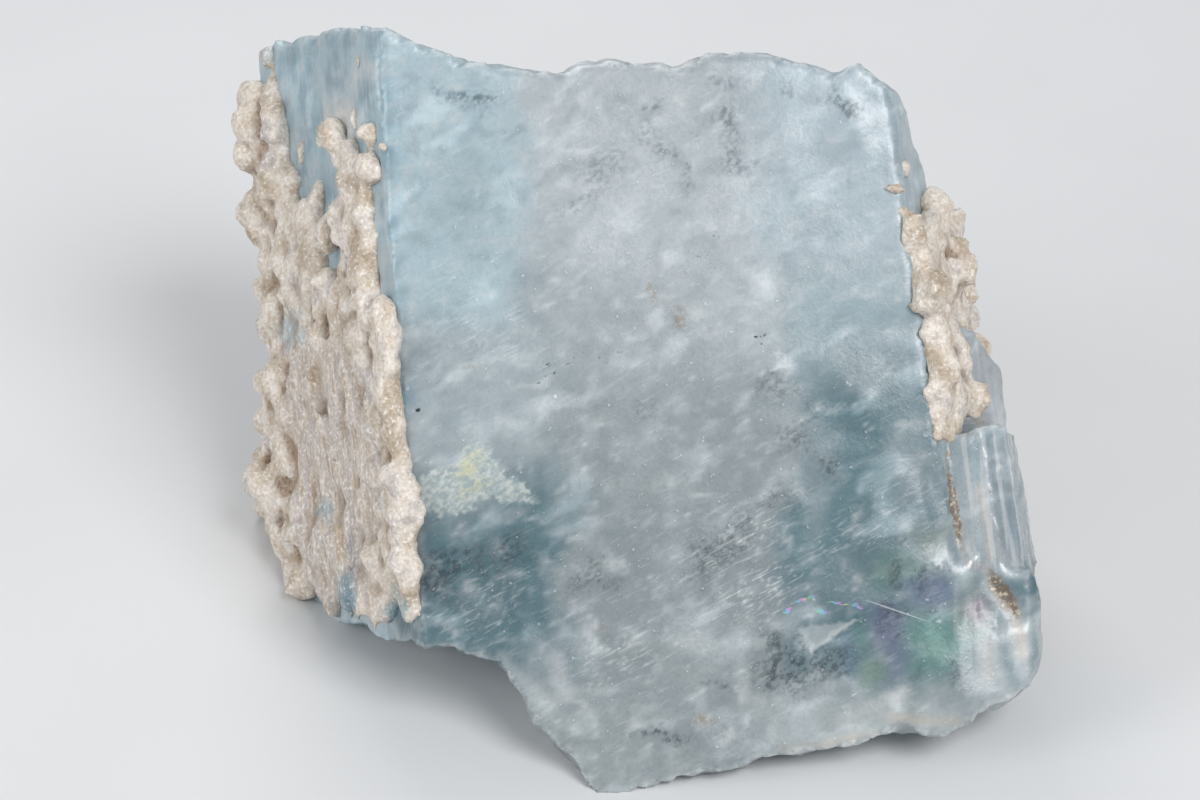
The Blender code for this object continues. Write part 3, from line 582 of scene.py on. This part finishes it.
RIGHT_NODULES = (
    (30.4, 62.9, 0.9, 1.1), (29.6, 60.8, 0.9, 0.5), (30.3, 58.7, 0.7, 0.5),
    (31.3, 55.8, 1.0, 2.0), (33.7, 59.6, 1.4, 1.2), (33.1, 58.3, 0.9, 0.9),
    (34.3, 57.1, 1.1, 1.3), (34.1, 55.1, 0.6, 0.7), (35.5, 55.0, 0.9, 0.9),
    (36.6, 53.5, 0.9, 1.0), (35.1, 53.2, 1.2, 0.8), (33.1, 51.7, 1.4, 1.3),
    (34.8, 50.9, 1.1, 1.0), (33.0, 49.5, 1.8, 1.3), (36.8, 51.0, 0.9, 1.4),
    (33.5, 48.3, 0.7, 0.8), (35.7, 48.5, 1.2, 1.2), (32.0, 49.1, 0.7, 0.7),
    (33.8, 47.2, 1.1, 1.1), (35.9, 47.2, 1.0, 1.2), (32.4, 46.5, 0.8, 0.7),
    (34.4, 45.7, 1.3, 1.1), (34.3, 44.2, 1.6, 0.9), (34.0, 42.8, 1.2, 0.8),
    (34.0, 41.2, 0.9, 1.0), (35.7, 40.8, 0.9, 1.6), (33.4, 39.0, 0.6, 1.0),
    (34.8, 38.6, 1.0, 1.2), (35.6, 37.6, 0.9, 1.2), (37.6, 39.6, 1.2, 1.8),
    (33.9, 36.3, 0.9, 0.7), (35.2, 36.1, 0.5, 0.6), (34.7, 34.5, 0.5, 1.1),
    (33.2, 44.9, 0.9, 1.1), (36.0, 44.6, 1.0, 1.3), (35.3, 42.6, 1.2, 1.2),
    (36.6, 42.8, 0.8, 1.2), (33.0, 40.4, 0.8, 1.0), (36.4, 41.4, 0.8, 1.4),
    (34.6, 39.9, 0.9, 1.0), (33.8, 38.1, 1.1, 1.0), (33.8, 59.5, 1.6, 1.4),
    (35.0, 55.1, 1.6, 1.0), (36.7, 53.0, 1.0, 1.8), (33.9, 50.7, 2.0, 2.0),
    (31.2, 57.0, 0.9, 1.6), (34.6, 37.4, 1.0, 0.9), (35.4, 45.4, 1.3, 1.1),
)

# Bluish, clearer patches of the crust: an oval, its colour and its strength.
GLASSY = (
    (-33.2, 74.6, 3.0, 2.6, 0, (176, 192, 202), 0.8),
    (-31.0, 46.8, 2.0, 2.8, 5, (158, 180, 192), 0.7),
    (-25.2, 19.8, 1.6, 4.4, 0, (104, 140, 154), 0.9),
    (-20.3, 18.2, 1.3, 3.6, 0, (126, 160, 170), 0.8),
    (-27.4, 28.9, 1.2, 1.6, 10, (150, 172, 182), 0.7),
    (-24.9, 25.0, 0.7, 2.2, -10, (150, 150, 156), 0.7),
)

# How far a nodule's middle stands out of the surface, as a share of its half width: it is sunk.
STAND = -0.15

# The albite's inner side lies this near the crystal, and is pushed this far into it, in mm.
TOUCHING, ROOTED = 0.8, 0.3

# Where the crust's front edge crosses the crystal's front, from the bottom up: x and z.
BORDER = ((-18.3, 19.0), (-18.9, 28.0), (-20.0, 38.0), (-21.2, 49.0))
BORDER_NODULES = 40

# Nodules that are seen past the specimen's outline: how far behind the front their sight lines
# are followed, and how far from the surface they may stand, in mm.
SEARCH_DEPTH, OVERHANG = 40, 0.6

# Nodules strewn over the rest of the albite: how many places are tried, the room they leave above
# the floor, before the crystal and (as a share of their half width) between one another.
NODULE_TRIES = 1500
FLOOR_ROOM, CRYSTAL_ROOM, SPACING = 1.5, 0.9, 1.2


def standing_on(normal):
    """Return axes with y out of the surface and z as near as can be up the prism."""
    out = normal.normalized()
    up = TO_MODEL.to_3x3() @ Vector((0.0, 0.0, 1.0))
    up = (up - out * up.dot(out)).normalized()
    return Matrix((up.cross(out) * -1.0, out, up)).transposed()


def unit_ball():
    """Return the corners and faces of a ball of radius 1."""
    bm = bmesh.new()
    bmesh.ops.create_icosphere(bm, subdivisions=3, radius=1.0)
    corners = np.array([vert.co for vert in bm.verts])
    faces = np.array([[vert.index for vert in face.verts] for face in bm.faces])
    bm.free()
    return corners, faces


def add_eggs(bm, matrices):
    """Add one smooth egg for each matrix, which turns, stretches and places a unit ball."""
    corners, faces = unit_ball()
    turns = np.array([np.array(matrix)[:3, :3] for matrix in matrices])
    places = np.array([matrix.translation for matrix in matrices])
    points = np.einsum("nij,kj->nki", turns, corners) + places[:, None]
    triangles = faces[None] + np.arange(len(matrices))[:, None, None] * len(corners)
    mesh = bpy.data.meshes.new("eggs")
    mesh.from_pydata(points.reshape(-1, 3), [], triangles.reshape(-1, 3))
    bm.from_mesh(mesh)
    bpy.data.meshes.remove(mesh)


def nodule(centre, axes, wide, tall):
    """Return the matrix that turns a unit ball into an egg on a surface."""
    size = Matrix.Diagonal((wide * MM, 0.85 * wide * MM, tall * MM, 1.0))
    return Matrix.Translation(centre) @ axes.to_4x4() @ size


def silk_band(points):
    """Return 1 on the silky strip of the left flank, between its front and rear nodules."""
    x, y, z = points.T
    return (
        smooth(x, -17.0, -20.0) * smooth(y, 5.0, 8.0) * smooth(y, 26.0, 22.0)
        * smooth(z, 48.0, 42.0) * smooth(z, 5.0, 9.0)
    )


def seen_place(solid, x, z):
    """Return where the sight line through a point on the front's plane meets the specimen, or
    passes closest to it, and the normal there."""
    direction = (TO_MODEL @ Vector((x, 0.0, z)) - EYE).normalized()
    place, normal, _, _ = solid.ray_cast(EYE, direction)
    if place is not None:
        return place, normal
    reaches = [CAMERA_DISTANCE + step for step in range(SEARCH_DEPTH)]
    stops = [EYE + direction * reach * MM for reach in reaches]
    nearest = min(stops, key=lambda stop: solid.find_nearest(stop)[3])
    surface, normal, _, gap = solid.find_nearest(nearest)
    return surface + (nearest - surface) * min(1.0, OVERHANG * MM / gap), normal


def grow_onto(bm, crystal):
    """Push the albite's inner side a little into the crystal's face, as the two grew together."""
    for vert in bm.verts:
        surface, _, _, gap = crystal.find_nearest(vert.co)
        if gap < TOUCHING * MM:
            vert.co = surface + (surface - vert.co).normalized() * ROOTED * MM


def lumpy_nodule(place, normal, wide, tall, rng):
    """Return the matrices of an egg with four smaller ones grown into its sides."""
    axes = standing_on(normal)
    eggs = [nodule(place + normal * STAND * wide * MM, axes, wide, tall)]
    for _ in range(4):
        around, share = rng.uniform(0.0, math.tau), rng.uniform(0.40, 0.65)
        out = (STAND + rng.uniform(-0.2, 0.5)) * wide
        offset = Vector((0.75 * wide * math.cos(around), out, 0.75 * tall * math.sin(around)))
        eggs.append(nodule(place + axes @ offset * MM, axes, wide * share, tall * share))
    return eggs


def border_nodules(rng):
    """Return the small nodules where the crust meets the front: x, z and half sizes."""
    xs, zs = zip(*BORDER)
    nodules = []
    for step in range(BORDER_NODULES):
        z = zs[0] + (zs[-1] - zs[0]) * step / (BORDER_NODULES - 1)
        x = np.interp(z, zs, xs)
        size = rng.uniform(0.5, 1.0)
        nodules.append((x + rng.uniform(-0.9, 0.4), z, size, size * rng.uniform(1.0, 1.6)))
    return nodules


def seen_nodules(solid, rng):
    """Return the listed nodules, each standing on the surface behind it."""
    nodules = []
    for x, z, wide, tall in LEFT_NODULES + RIGHT_NODULES + tuple(border_nodules(rng)):
        nodules += lumpy_nodule(*seen_place(solid, x, z), wide, tall, rng)
    return nodules


def grown_nodules(bm, crystal, rng):
    """Strew nodules over the albite's outward faces: long ones on the silky strip, small ones
    where the listed ones stand, larger ones elsewhere."""
    faces = list(bm.faces)
    weights = [face.calc_area() for face in faces]
    nodules = []
    for face in rng.choices(faces, weights, k=NODULE_TRIES):
        place, out = face.calc_center_median(), face.normal.copy()
        x, y, z = TO_CRYSTAL @ place
        silky = silk_band(np.array([(x, y, z)]))[0] > 0.5
        in_view = abs(x) > 17.0 and y < 28.0
        wide = rng.uniform(0.4, 0.7) if silky or in_view else 0.8 + 1.3 * rng.random() ** 2
        tall = wide * (rng.uniform(3.0, 6.0) if silky else rng.uniform(1.0, 1.4))
        if place.z < FLOOR_ROOM * MM or crystal.find_nearest(place)[3] < CRYSTAL_ROOM * MM:
            continue
        if any((place - other.translation).length < SPACING * wide * MM for other in nodules):
            continue
        sunk = 0.3 * wide if silky else -0.25 * wide
        nodules.append(nodule(place - out * sunk * MM, standing_on(out), wide, tall))
    return nodules


def albite_glass(points):
    """Return the colour of the glassy places in the crust, and how strong it is."""
    near = wandering(seen(points), 1.6, 1.0)
    colours, cover = np.zeros((len(points), 3)), np.zeros(len(points))
    for *place, colour, strength in GLASSY:
        mask = oval(near, *place)
        cover = np.maximum(cover, strength * mask)
        colours = paint(colours, mask > 0.0, colour)
    return colours, cover * smooth(points[:, 1], 30.0, 24.0)


def albite_piece():
    whole, bm = welded_copy("topaz_crystal"), welded_copy("albite_matrix")
    crystal = BVHTree.FromBMesh(whole)
    nodules = grown_nodules(bm, crystal, random.Random(GROWN_SEED))
    whole.from_mesh(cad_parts["albite_matrix"].data)
    nodules += seen_nodules(BVHTree.FromBMesh(whole), random.Random(PLACED_SEED))
    whole.free()
    grow_onto(bm, crystal)
    add_eggs(bm, nodules)
    piece = piece_from(bm, "albite")
    remesh(piece, ALBITE_VOXEL)
    mesh = piece.data
    points = coordinates(mesh)
    silky = silk_band(points)
    raise_surface(mesh, 0.16 * cloud_at(points, 1.1))
    raise_surface(mesh, 0.7 * silky * np.maximum(hollowness(mesh, 24), 0.0))
    keep_number(mesh, "hollow", smooth(hollowness(mesh, 24), -0.05, 0.45))
    keep_number(mesh, "silky", silky)
    glass, cover = albite_glass(points)
    keep_colour(mesh, "glass", glass)
    keep_number(mesh, "glassy", cover)
    dress(piece, albite_material(), "albite_matrix")


# ---------------- materials

DEEP = 1000.0  # half depth of marks that take no notice of depth, in mm


class Look:
    """Adds nodes to one material and wires them, so that a look reads as a sum."""

    def __init__(self, name):
        self.material = bpy.data.materials.new(name)
        self.material.use_nodes = True
        self.tree = self.material.node_tree
        self.shader = self.tree.nodes["Principled BSDF"]
        self.output = self.tree.nodes["Material Output"]
        self.place = self.add("ShaderNodeMapping", {
            "Vector": self.add("ShaderNodeTexCoord").outputs["Object"],
            "Location": TO_CRYSTAL.translation,
            "Rotation": (LEAN_BACK, 0.0, 0.0),
            "Scale": (1 / MM, 1 / MM, 1 / MM),
        }).outputs["Vector"]

    def feed(self, inputs, values):
        """Link or set a node's inputs, each named by its name or number."""
        for key, value in values.items():
            if isinstance(value, bpy.types.NodeSocket):
                self.tree.links.new(value, inputs[key])
            else:
                inputs[key].default_value = value

    def add(self, kind, values=None, **settings):
        """Add a node with these inputs and settings."""
        node = self.tree.nodes.new(kind)
        for key, value in settings.items():
            setattr(node, key, value)
        self.feed(node.inputs, values or {})
        return node

    def set(self, **values):
        """Set the shader's inputs, named with _ in place of each space."""
        self.feed(self.shader.inputs, {key.replace("_", " "): values[key] for key in values})

    def number(self, name):
        return self.add("ShaderNodeAttribute", attribute_name=name).outputs["Fac"]

    def colour(self, name):
        return self.add("ShaderNodeAttribute", attribute_name=name).outputs["Color"]

    def joined(self, operation, *values):
        """Join values by one operation, from the first to the last."""
        result, *rest = values
        for value in rest:
            node = self.add("ShaderNodeMath", {0: result, 1: value}, operation=operation)
            result = node.outputs[0]
        return result

    def total(self, *values):
        return self.joined("ADD", *values)

    def times(self, *values):
        return self.joined("MULTIPLY", *values)

    def most(self, *values):
        return self.joined("MAXIMUM", *values)

    def least(self, *values):
        return self.joined("MINIMUM", *values)

    def rise(self, value, low, high):
        """Go smoothly from 0 at low to 1 at high; low may be above high."""
        flip = low > high
        return self.add("ShaderNodeMapRange", {
            "Value": value,
            "From Min": min(low, high),
            "From Max": max(low, high),
            "To Min": float(flip),
            "To Max": float(not flip),
        }, interpolation_type="SMOOTHSTEP").outputs["Result"]

    def nudged(self, scale, amount):
        """Return the place pushed about by fine noise, for marks with ragged edges."""
        fine = self.add("ShaderNodeTexNoise", {"Vector": self.place, "Scale": scale, "Detail": 0.0})
        centred = self.add("ShaderNodeVectorMath", {0: fine.outputs["Color"], 1: (0.5, 0.5, 0.5)},
                           operation="SUBTRACT")
        push = {0: centred.outputs["Vector"], 1: (amount, amount, amount), 2: self.place}
        return self.add("ShaderNodeVectorMath", push, operation="MULTIPLY_ADD").outputs["Vector"]

    def patch(self, place, x, z, wide, tall, turn=0.0):
        """Return 1 inside a small oval on the front, falling to 0 at its rim."""
        own = self.add("ShaderNodeMapping", {
            "Vector": place,
            "Location": (x, 0.0, z),
            "Rotation": (0.0, math.radians(-turn), 0.0),
            "Scale": (wide, DEEP, tall),
        }, vector_type="TEXTURE")
        reach = self.add("ShaderNodeVectorMath", {0: own.outputs["Vector"]}, operation="LENGTH")
        return self.rise(reach.outputs["Value"], 1.0, 0.5)

    def corner_patch(self, place, corners, soft):
        """Return 1 inside a shape with straight sides, named clockwise, falling to 0 at its rim."""
        depths = []
        for (x0, z0), (x1, z1) in zip(corners, corners[1:] + corners[:1]):
            length = math.hypot(x1 - x0, z1 - z0)
            inward = ((z1 - z0) / length, 0.0, (x0 - x1) / length)
            start = (x0 * (z1 - z0) - z0 * (x1 - x0)) / length
            along = self.add("ShaderNodeVectorMath", {0: place, 1: inward}, operation="DOT_PRODUCT")
            depths.append(self.total(along.outputs["Value"], -start))
        return self.rise(self.least(*depths), 0.0, soft)

    def scaled(self, scale, turn):
        """Return the place, turned in the front's plane and scaled along x, y and z."""
        turned = self.add("ShaderNodeMapping",
                          {"Vector": self.place, "Rotation": (0.0, math.radians(turn), 0.0)})
        stretch = {0: turned.outputs["Vector"], 1: scale}
        return self.add("ShaderNodeVectorMath", stretch, operation="MULTIPLY").outputs["Vector"]

    def noise(self, scale, detail=1.0, roughness=0.6, turn=0.0):
        """Return noise from 0 to 1, scaled alike on all axes or along x, y and z."""
        scales = scale if isinstance(scale, tuple) else (scale, scale, scale)
        return self.add("ShaderNodeTexNoise", {
            "Vector": self.scaled(scales, turn),
            "Scale": 1.0,
            "Detail": detail,
            "Roughness": roughness,
        }).outputs["Fac"]

    def mix(self, factor, a, b, blend="MIX"):
        node = self.add("ShaderNodeMix", data_type="RGBA", blend_type=blend)
        self.feed(node.inputs, {"Factor": factor, 6: a, 7: b})
        return node.outputs[2]

    def darker(self, colour, factor, tone):
        """Multiply a colour by a tone, where the factor says so."""
        return self.mix(factor, colour, tone, "MULTIPLY")

    def ramp(self, value, stops):
        """Colour by value, through stops given as (value from 0 to 1, colour)."""
        node = self.add("ShaderNodeValToRGB", {"Fac": value})
        elements = node.color_ramp.elements
        while len(elements) < len(stops):
            elements.new(0.5)
        for element, (position, colour) in zip(elements, stops):
            element.position = position
            element.color = colour
        return node.outputs["Color"]

    def bump(self, height, depth):
        """Return the normal of a surface with a relief of this height, in millimetres."""
        values = {"Height": height, "Distance": depth * MM}
        return self.add("ShaderNodeBump", values).outputs["Normal"]


# Bright rainbow lines round the chip, and a long hairline: x, z, half length, half width, turn.
GLINTS = (
    (20.6, 19.9, 1.5, 0.20, 18),
    (22.1, 18.6, 0.9, 0.30, -14),
    (25.7, 19.1, 0.8, 0.22, -24),
    (23.8, 19.4, 1.3, 0.16, -8),
    (18.8, 18.7, 0.6, 0.20, 30),
)
HAIRLINE = (29.5, 18.7, 4.2, 0.10, -19)


def rainbow(look):
    """Painted iridescence: colours that change every millimetre or so along a bright line."""
    x, _, z = look.add("ShaderNodeSeparateXYZ", {"Vector": look.place}).outputs
    slant = look.total(look.times(x, 0.55), look.times(z, 0.35))
    turn = look.add("ShaderNodeMath", {0: slant}, operation="FRACT").outputs[0]
    return look.ramp(turn, (
        (0.00, srgb(226, 150, 226)),
        (0.25, srgb(232, 226, 150)),
        (0.50, srgb(130, 226, 178)),
        (0.75, srgb(140, 196, 240)),
        (1.00, srgb(226, 150, 226)),
    ))


# Colours of the crystal's marks. The edge and window tones are painted shade.
GRAIN_TONE, EDGE_SHADE, WINDOW_SHADE = srgb(236, 240, 242), srgb(226, 232, 235), srgb(120, 137, 146)
SCRATCH_WHITE, STREAK_WHITE = srgb(240, 244, 245), srgb(238, 240, 240)
FELT_GREY, FELT_WHITE, FELT_YELLOW = srgb(148, 162, 164), srgb(196, 201, 194), srgb(190, 187, 132)
CHIP_FACE, CHIP_EDGE = srgb(182, 195, 199), srgb(216, 223, 224)
PEPPER_GREY, SPECK_BLACK = srgb(62, 66, 68), srgb(30, 30, 32)
STAIN_BROWN, RUST_BROWN, RUST_SAND = srgb(146, 122, 88), srgb(98, 74, 48), srgb(190, 174, 148)

# What the crystal takes from light on its way through: the colour left, and the density per metre.
ABSORPTION_COLOUR, ABSORPTION_DENSITY = (0.50, 0.80, 0.92, 1.0), 8.0


class TopazLook(Look):
    """The crystal's look: the noises, the torn place and the depth limit that its marks share."""

    def __init__(self, name):
        super().__init__(name)
        self.grain = self.noise(1.9, 2.0, 0.66)
        self.dash = self.noise((1.1, 1.2, 2.2), 1.0, 0.6, turn=42.0)
        self.torn = self.nudged(1.6, 0.5)
        self.shallow = self.number("shallow")


def small_marks(look):
    """Return the masks of marks finer than the mesh: specks, rusty grooves, glints, hairline."""
    specks = look.most(*(look.patch(look.torn, x, z, size, size) for x, z, size in SPECKS))
    grooves = look.most(look.patch(look.torn, *RUSTY_SEAM), look.patch(look.torn, *RUSTY_NOTCH))
    glints = look.most(*(look.patch(look.torn, *glint) for glint in GLINTS))
    hairline = look.patch(look.place, *HAIRLINE)
    return tuple(look.times(mark, look.shallow) for mark in (specks, grooves, glints, hairline))


def clear_windows(look, base):
    """Darken the windows with painted shade, for the dark inside seen where little milk hides it.
    Also return how clear they are.
    """
    window = look.number("window")
    spots = look.total(look.times(look.grain, 0.5), look.times(look.dash, 0.5))
    clear = look.times(window, look.rise(spots, 0.41, 0.62))
    # Painted shade: the windows' dark colour stands in for the shadowed inside seen through them.
    dark = look.total(look.times(clear, 0.68), look.times(window, 0.20))
    return look.darker(base, dark, WINDOW_SHADE), clear


def white_scratches(look, base, hairline):
    """Lay on scratches, flecks of painted glint, frayed ends and the hairline. Also return how
    white they are.
    """
    stroke = look.noise((0.42, 0.9, 3.9), 1.0, 0.6, turn=28.0)
    scratch = look.total(look.times(look.rise(stroke, 0.52, 0.72), 0.26),
                         look.times(look.rise(look.dash, 0.54, 0.68), 0.26))
    # Among these, the sparse white flecks picked from the grain are painted glints.
    white = look.total(look.times(look.number("scratched"), scratch),
                       look.times(look.rise(stroke, 0.57, 0.76), 0.13),
                       look.times(look.rise(look.grain, 0.66, 0.74), 0.45),
                       look.times(look.number("worn"), look.rise(look.grain, 0.34, 0.56), 0.5),
                       look.times(hairline, 0.5))
    return look.mix(white, base, SCRATCH_WHITE), white


def felt_patch(look, base):
    """Lay on the fibrous patch and its yellow parts. Also return how thick it is."""
    frayed = look.total(look.times(look.dash, 0.6), look.times(look.grain, 0.6))
    felt = look.rise(look.total(look.number("felt"), frayed), 0.72, 1.24)
    matted = look.mix(look.rise(frayed, 0.46, 0.76), FELT_GREY, FELT_WHITE)
    base = look.mix(look.times(felt, 0.8), base, matted)
    yellow = look.times(look.number("yellow"), felt, look.rise(frayed, 0.46, 0.72))
    return look.mix(look.times(yellow, 0.6), base, FELT_YELLOW), felt


def flat_chip(look, base):
    """Lay on the pale flat chip and its lit edge. The chip's face is partly painted light on a
    facet that catches the lamps, and its edge is a painted highlight.
    """
    flat = look.times(look.corner_patch(look.torn, CHIP, 0.5), look.shallow)
    brink = look.patch(look.torn, *CHIP_BRINK)
    # Painted light: the chip's pale face is brightened as a lit facet, and its lower edge is a
    # painted highlight.
    base = look.mix(look.times(flat, 0.92), base, CHIP_FACE)
    return look.mix(look.times(brink, flat, 0.8), base, CHIP_EDGE)


def pale_streaks(look, base, prism):
    """Lay thin streaks along the sides and the side prism. Also return how strong they are."""
    line = look.noise((1.5, 1.5, 0.06), 1.0, 0.6, turn=5.5)
    streak = look.total(look.times(look.number("side"), 0.14), look.times(prism, 0.35))
    streak = look.times(streak, look.rise(line, 0.46, 0.62))
    return look.mix(streak, base, STREAK_WHITE), streak


def brown_marks(look, base, grooves):
    """Lay on the stains, and the rust in the grooves. Also return how thick the rust is."""
    stain = look.times(look.number("stain"), look.rise(look.grain, 0.36, 0.56))
    base = look.mix(look.times(stain, 0.7), base, STAIN_BROWN)
    rust = look.times(grooves, look.rise(look.grain, 0.24, 0.42))
    rusty = look.mix(look.rise(look.grain, 0.50, 0.68), RUST_BROWN, RUST_SAND)
    return look.mix(look.times(rust, 0.85), base, rusty), rust


def topaz_material():
    look = TopazLook("topaz")
    prism, edge = look.number("prism"), look.number("edge")
    specks, grooves, glints, hairline = small_marks(look)

    base = look.darker(look.colour("tint"), look.rise(look.grain, 0.44, 0.74), GRAIN_TONE)
    # Painted shade: the front's edges are darkened to dim the lamps' highlight along them.
    base = look.darker(base, edge, EDGE_SHADE)
    base, clear = clear_windows(look, base)
    base, white = white_scratches(look, base, hairline)
    base, felt = felt_patch(look, base)
    pepper = look.times(look.number("peppered"), look.rise(look.grain, 0.40, 0.33))
    base = look.mix(look.times(pepper, 0.85), base, PEPPER_GREY)
    base = flat_chip(look, base)
    base, streak = pale_streaks(look, base, prism)
    base, rust = brown_marks(look, base, grooves)
    # Painted glints: bright rainbow lines laid into the base colour.
    glint = look.times(glints, look.rise(look.grain, 0.34, 0.50))
    base = look.mix(glint, base, rainbow(look))
    base = look.mix(specks, base, SPECK_BLACK)

    opaque = look.total(look.times(white, 0.2), look.times(felt, 0.3), look.times(rust, 0.4),
                        look.times(streak, 0.2))
    through = look.total(look.number("clarity"), look.times(clear, 0.1), look.times(opaque, -1.0))
    through = look.least(look.most(through, 0.04), 0.95)
    dull = look.total(look.times(look.number("broken"), 0.10), look.times(edge, 0.35))
    rough = look.total(0.27, look.times(white, 0.15), look.times(prism, -0.12),
                       look.times(look.grain, 0.12), dull)
    look.set(Base_Color=base, Roughness=rough, IOR=TOPAZ_IOR, Transmission_Weight=through,
             Normal=look.bump(look.grain, 0.03))
    absorb = look.add("ShaderNodeVolumeAbsorption",
                      {"Color": ABSORPTION_COLOUR, "Density": ABSORPTION_DENSITY})
    look.feed(look.output.inputs, {"Volume": absorb.outputs["Volume"]})
    return look.material


# Colours of the albite, from tan to white and back to grey, by a slow noise.
ALBITE_SHADES = (
    (0.30, srgb(178, 163, 144)),
    (0.44, srgb(202, 190, 175)),
    (0.58, srgb(219, 211, 201)),
    (0.70, srgb(192, 184, 179)),
)
SILK_PALE, SILK_BROWN = srgb(188, 179, 173), srgb(160, 138, 114)
HOLLOW_SHADE, PORE_TONE = srgb(206, 192, 178), srgb(232, 226, 219)
HOLLOW_SHADE_BROWN, GLINT_WHITE = srgb(106, 82, 54), srgb(244, 241, 236)


def albite_material():
    look = Look("albite")
    shade = look.noise(0.32)
    silk = look.noise((1.7, 0.9, 0.13), turn=4.5)
    grain = look.noise(2.4, 2.0)
    silky, hollow = look.number("silky"), look.number("hollow")

    base = look.ramp(shade, ALBITE_SHADES)
    base = look.mix(look.times(silky, look.rise(silk, 0.42, 0.58)), base, SILK_PALE)
    base = look.mix(look.times(silky, look.rise(silk, 0.44, 0.30), 0.6), base, SILK_BROWN)
    base = look.mix(look.number("glassy"), base, look.colour("glass"))
    # Painted shade: hollows are darkened, and the deepest turn brown, where shade falls between the
    # nodules.
    base = look.darker(base, hollow, HOLLOW_SHADE)
    base = look.darker(base, look.rise(grain, 0.52, 0.32), PORE_TONE)
    deep_shade = look.times(look.rise(hollow, 0.35, 0.95), look.rise(grain, 0.44, 0.60))
    base = look.mix(look.times(deep_shade, 0.7), base, HOLLOW_SHADE_BROWN)
    # Painted glints: small white specks on the ridges, away from the hollows.
    ridge_glint = look.times(look.rise(hollow, 0.6, 0.1), look.rise(grain, 0.56, 0.68))
    base = look.mix(look.times(ridge_glint, 0.6), base, GLINT_WHITE)

    rough = look.total(0.30, look.times(shade, 0.25))
    relief = look.total(look.times(grain, 0.5), look.times(silk, silky, 0.8))
    look.set(Base_Color=base, Roughness=rough, IOR=ALBITE_IOR, Normal=look.bump(relief, 0.30))
    return look.material


# ---------------- stage, light and camera

FLOOR_REACH = 1.5  # from its middle to each side, in metres
FLOOR_SHADES = srgb(208, 209, 210), srgb(214, 215, 216)

# Soft round lamps: name, place and diameter in metres, and power. All face the lit point.
LAMPS = (
    ("key", (0.32, -0.48, 0.62), 0.42, 4.7),
    ("fill", (-0.70, -0.30, 0.35), 0.50, 2.7),
    ("back", (-0.15, 0.60, 0.45), 0.30, 1.5),
)
LIT_POINT = Vector((0.0, 0.0, 0.03))
STUDIO_COLOUR, STUDIO_STRENGTH = srgb(219, 222, 226), 0.56


def floor():
    bm = bmesh.new()
    bmesh.ops.create_grid(bm, x_segments=8, y_segments=8, size=FLOOR_REACH)
    obj = piece_from(bm, "floor")
    look = Look("floor_paper")
    tone = look.noise(0.03, 1.0)
    look.set(Base_Color=look.mix(tone, *FLOOR_SHADES), Roughness=0.7)
    obj.data.materials.append(look.material)


def area_light(name, place, size, power):
    data = bpy.data.lights.new(name, "AREA")
    data.shape = "DISK"
    data.size = size
    data.energy = power
    aim = (LIT_POINT - Vector(place)).to_track_quat("-Z", "Y")
    linked(name, data).matrix_world = Matrix.Translation(place) @ aim.to_matrix().to_4x4()


def lights():
    world = bpy.data.worlds.new("studio")
    world.use_nodes = True
    background = world.node_tree.nodes["Background"]
    background.inputs["Color"].default_value = STUDIO_COLOUR
    background.inputs["Strength"].default_value = STUDIO_STRENGTH
    bpy.context.scene.world = world
    for lamp in LAMPS:
        area_light(*lamp)


def camera():
    data = bpy.data.cameras.new("camera")
    data.lens = LENS
    data.sensor_width = SENSOR
    data.clip_start = 0.01
    tilt = Matrix.Rotation(math.pi / 2 - LEAN_BACK, 4, "X")
    obj = linked("camera", data)
    obj.matrix_world = Matrix.Translation(EYE) @ tilt
    bpy.context.scene.camera = obj


def main():
    bpy.context.scene.view_settings.view_transform = "Standard"
    camera()
    lights()
    floor()
    topaz_piece()
    albite_piece()


main()
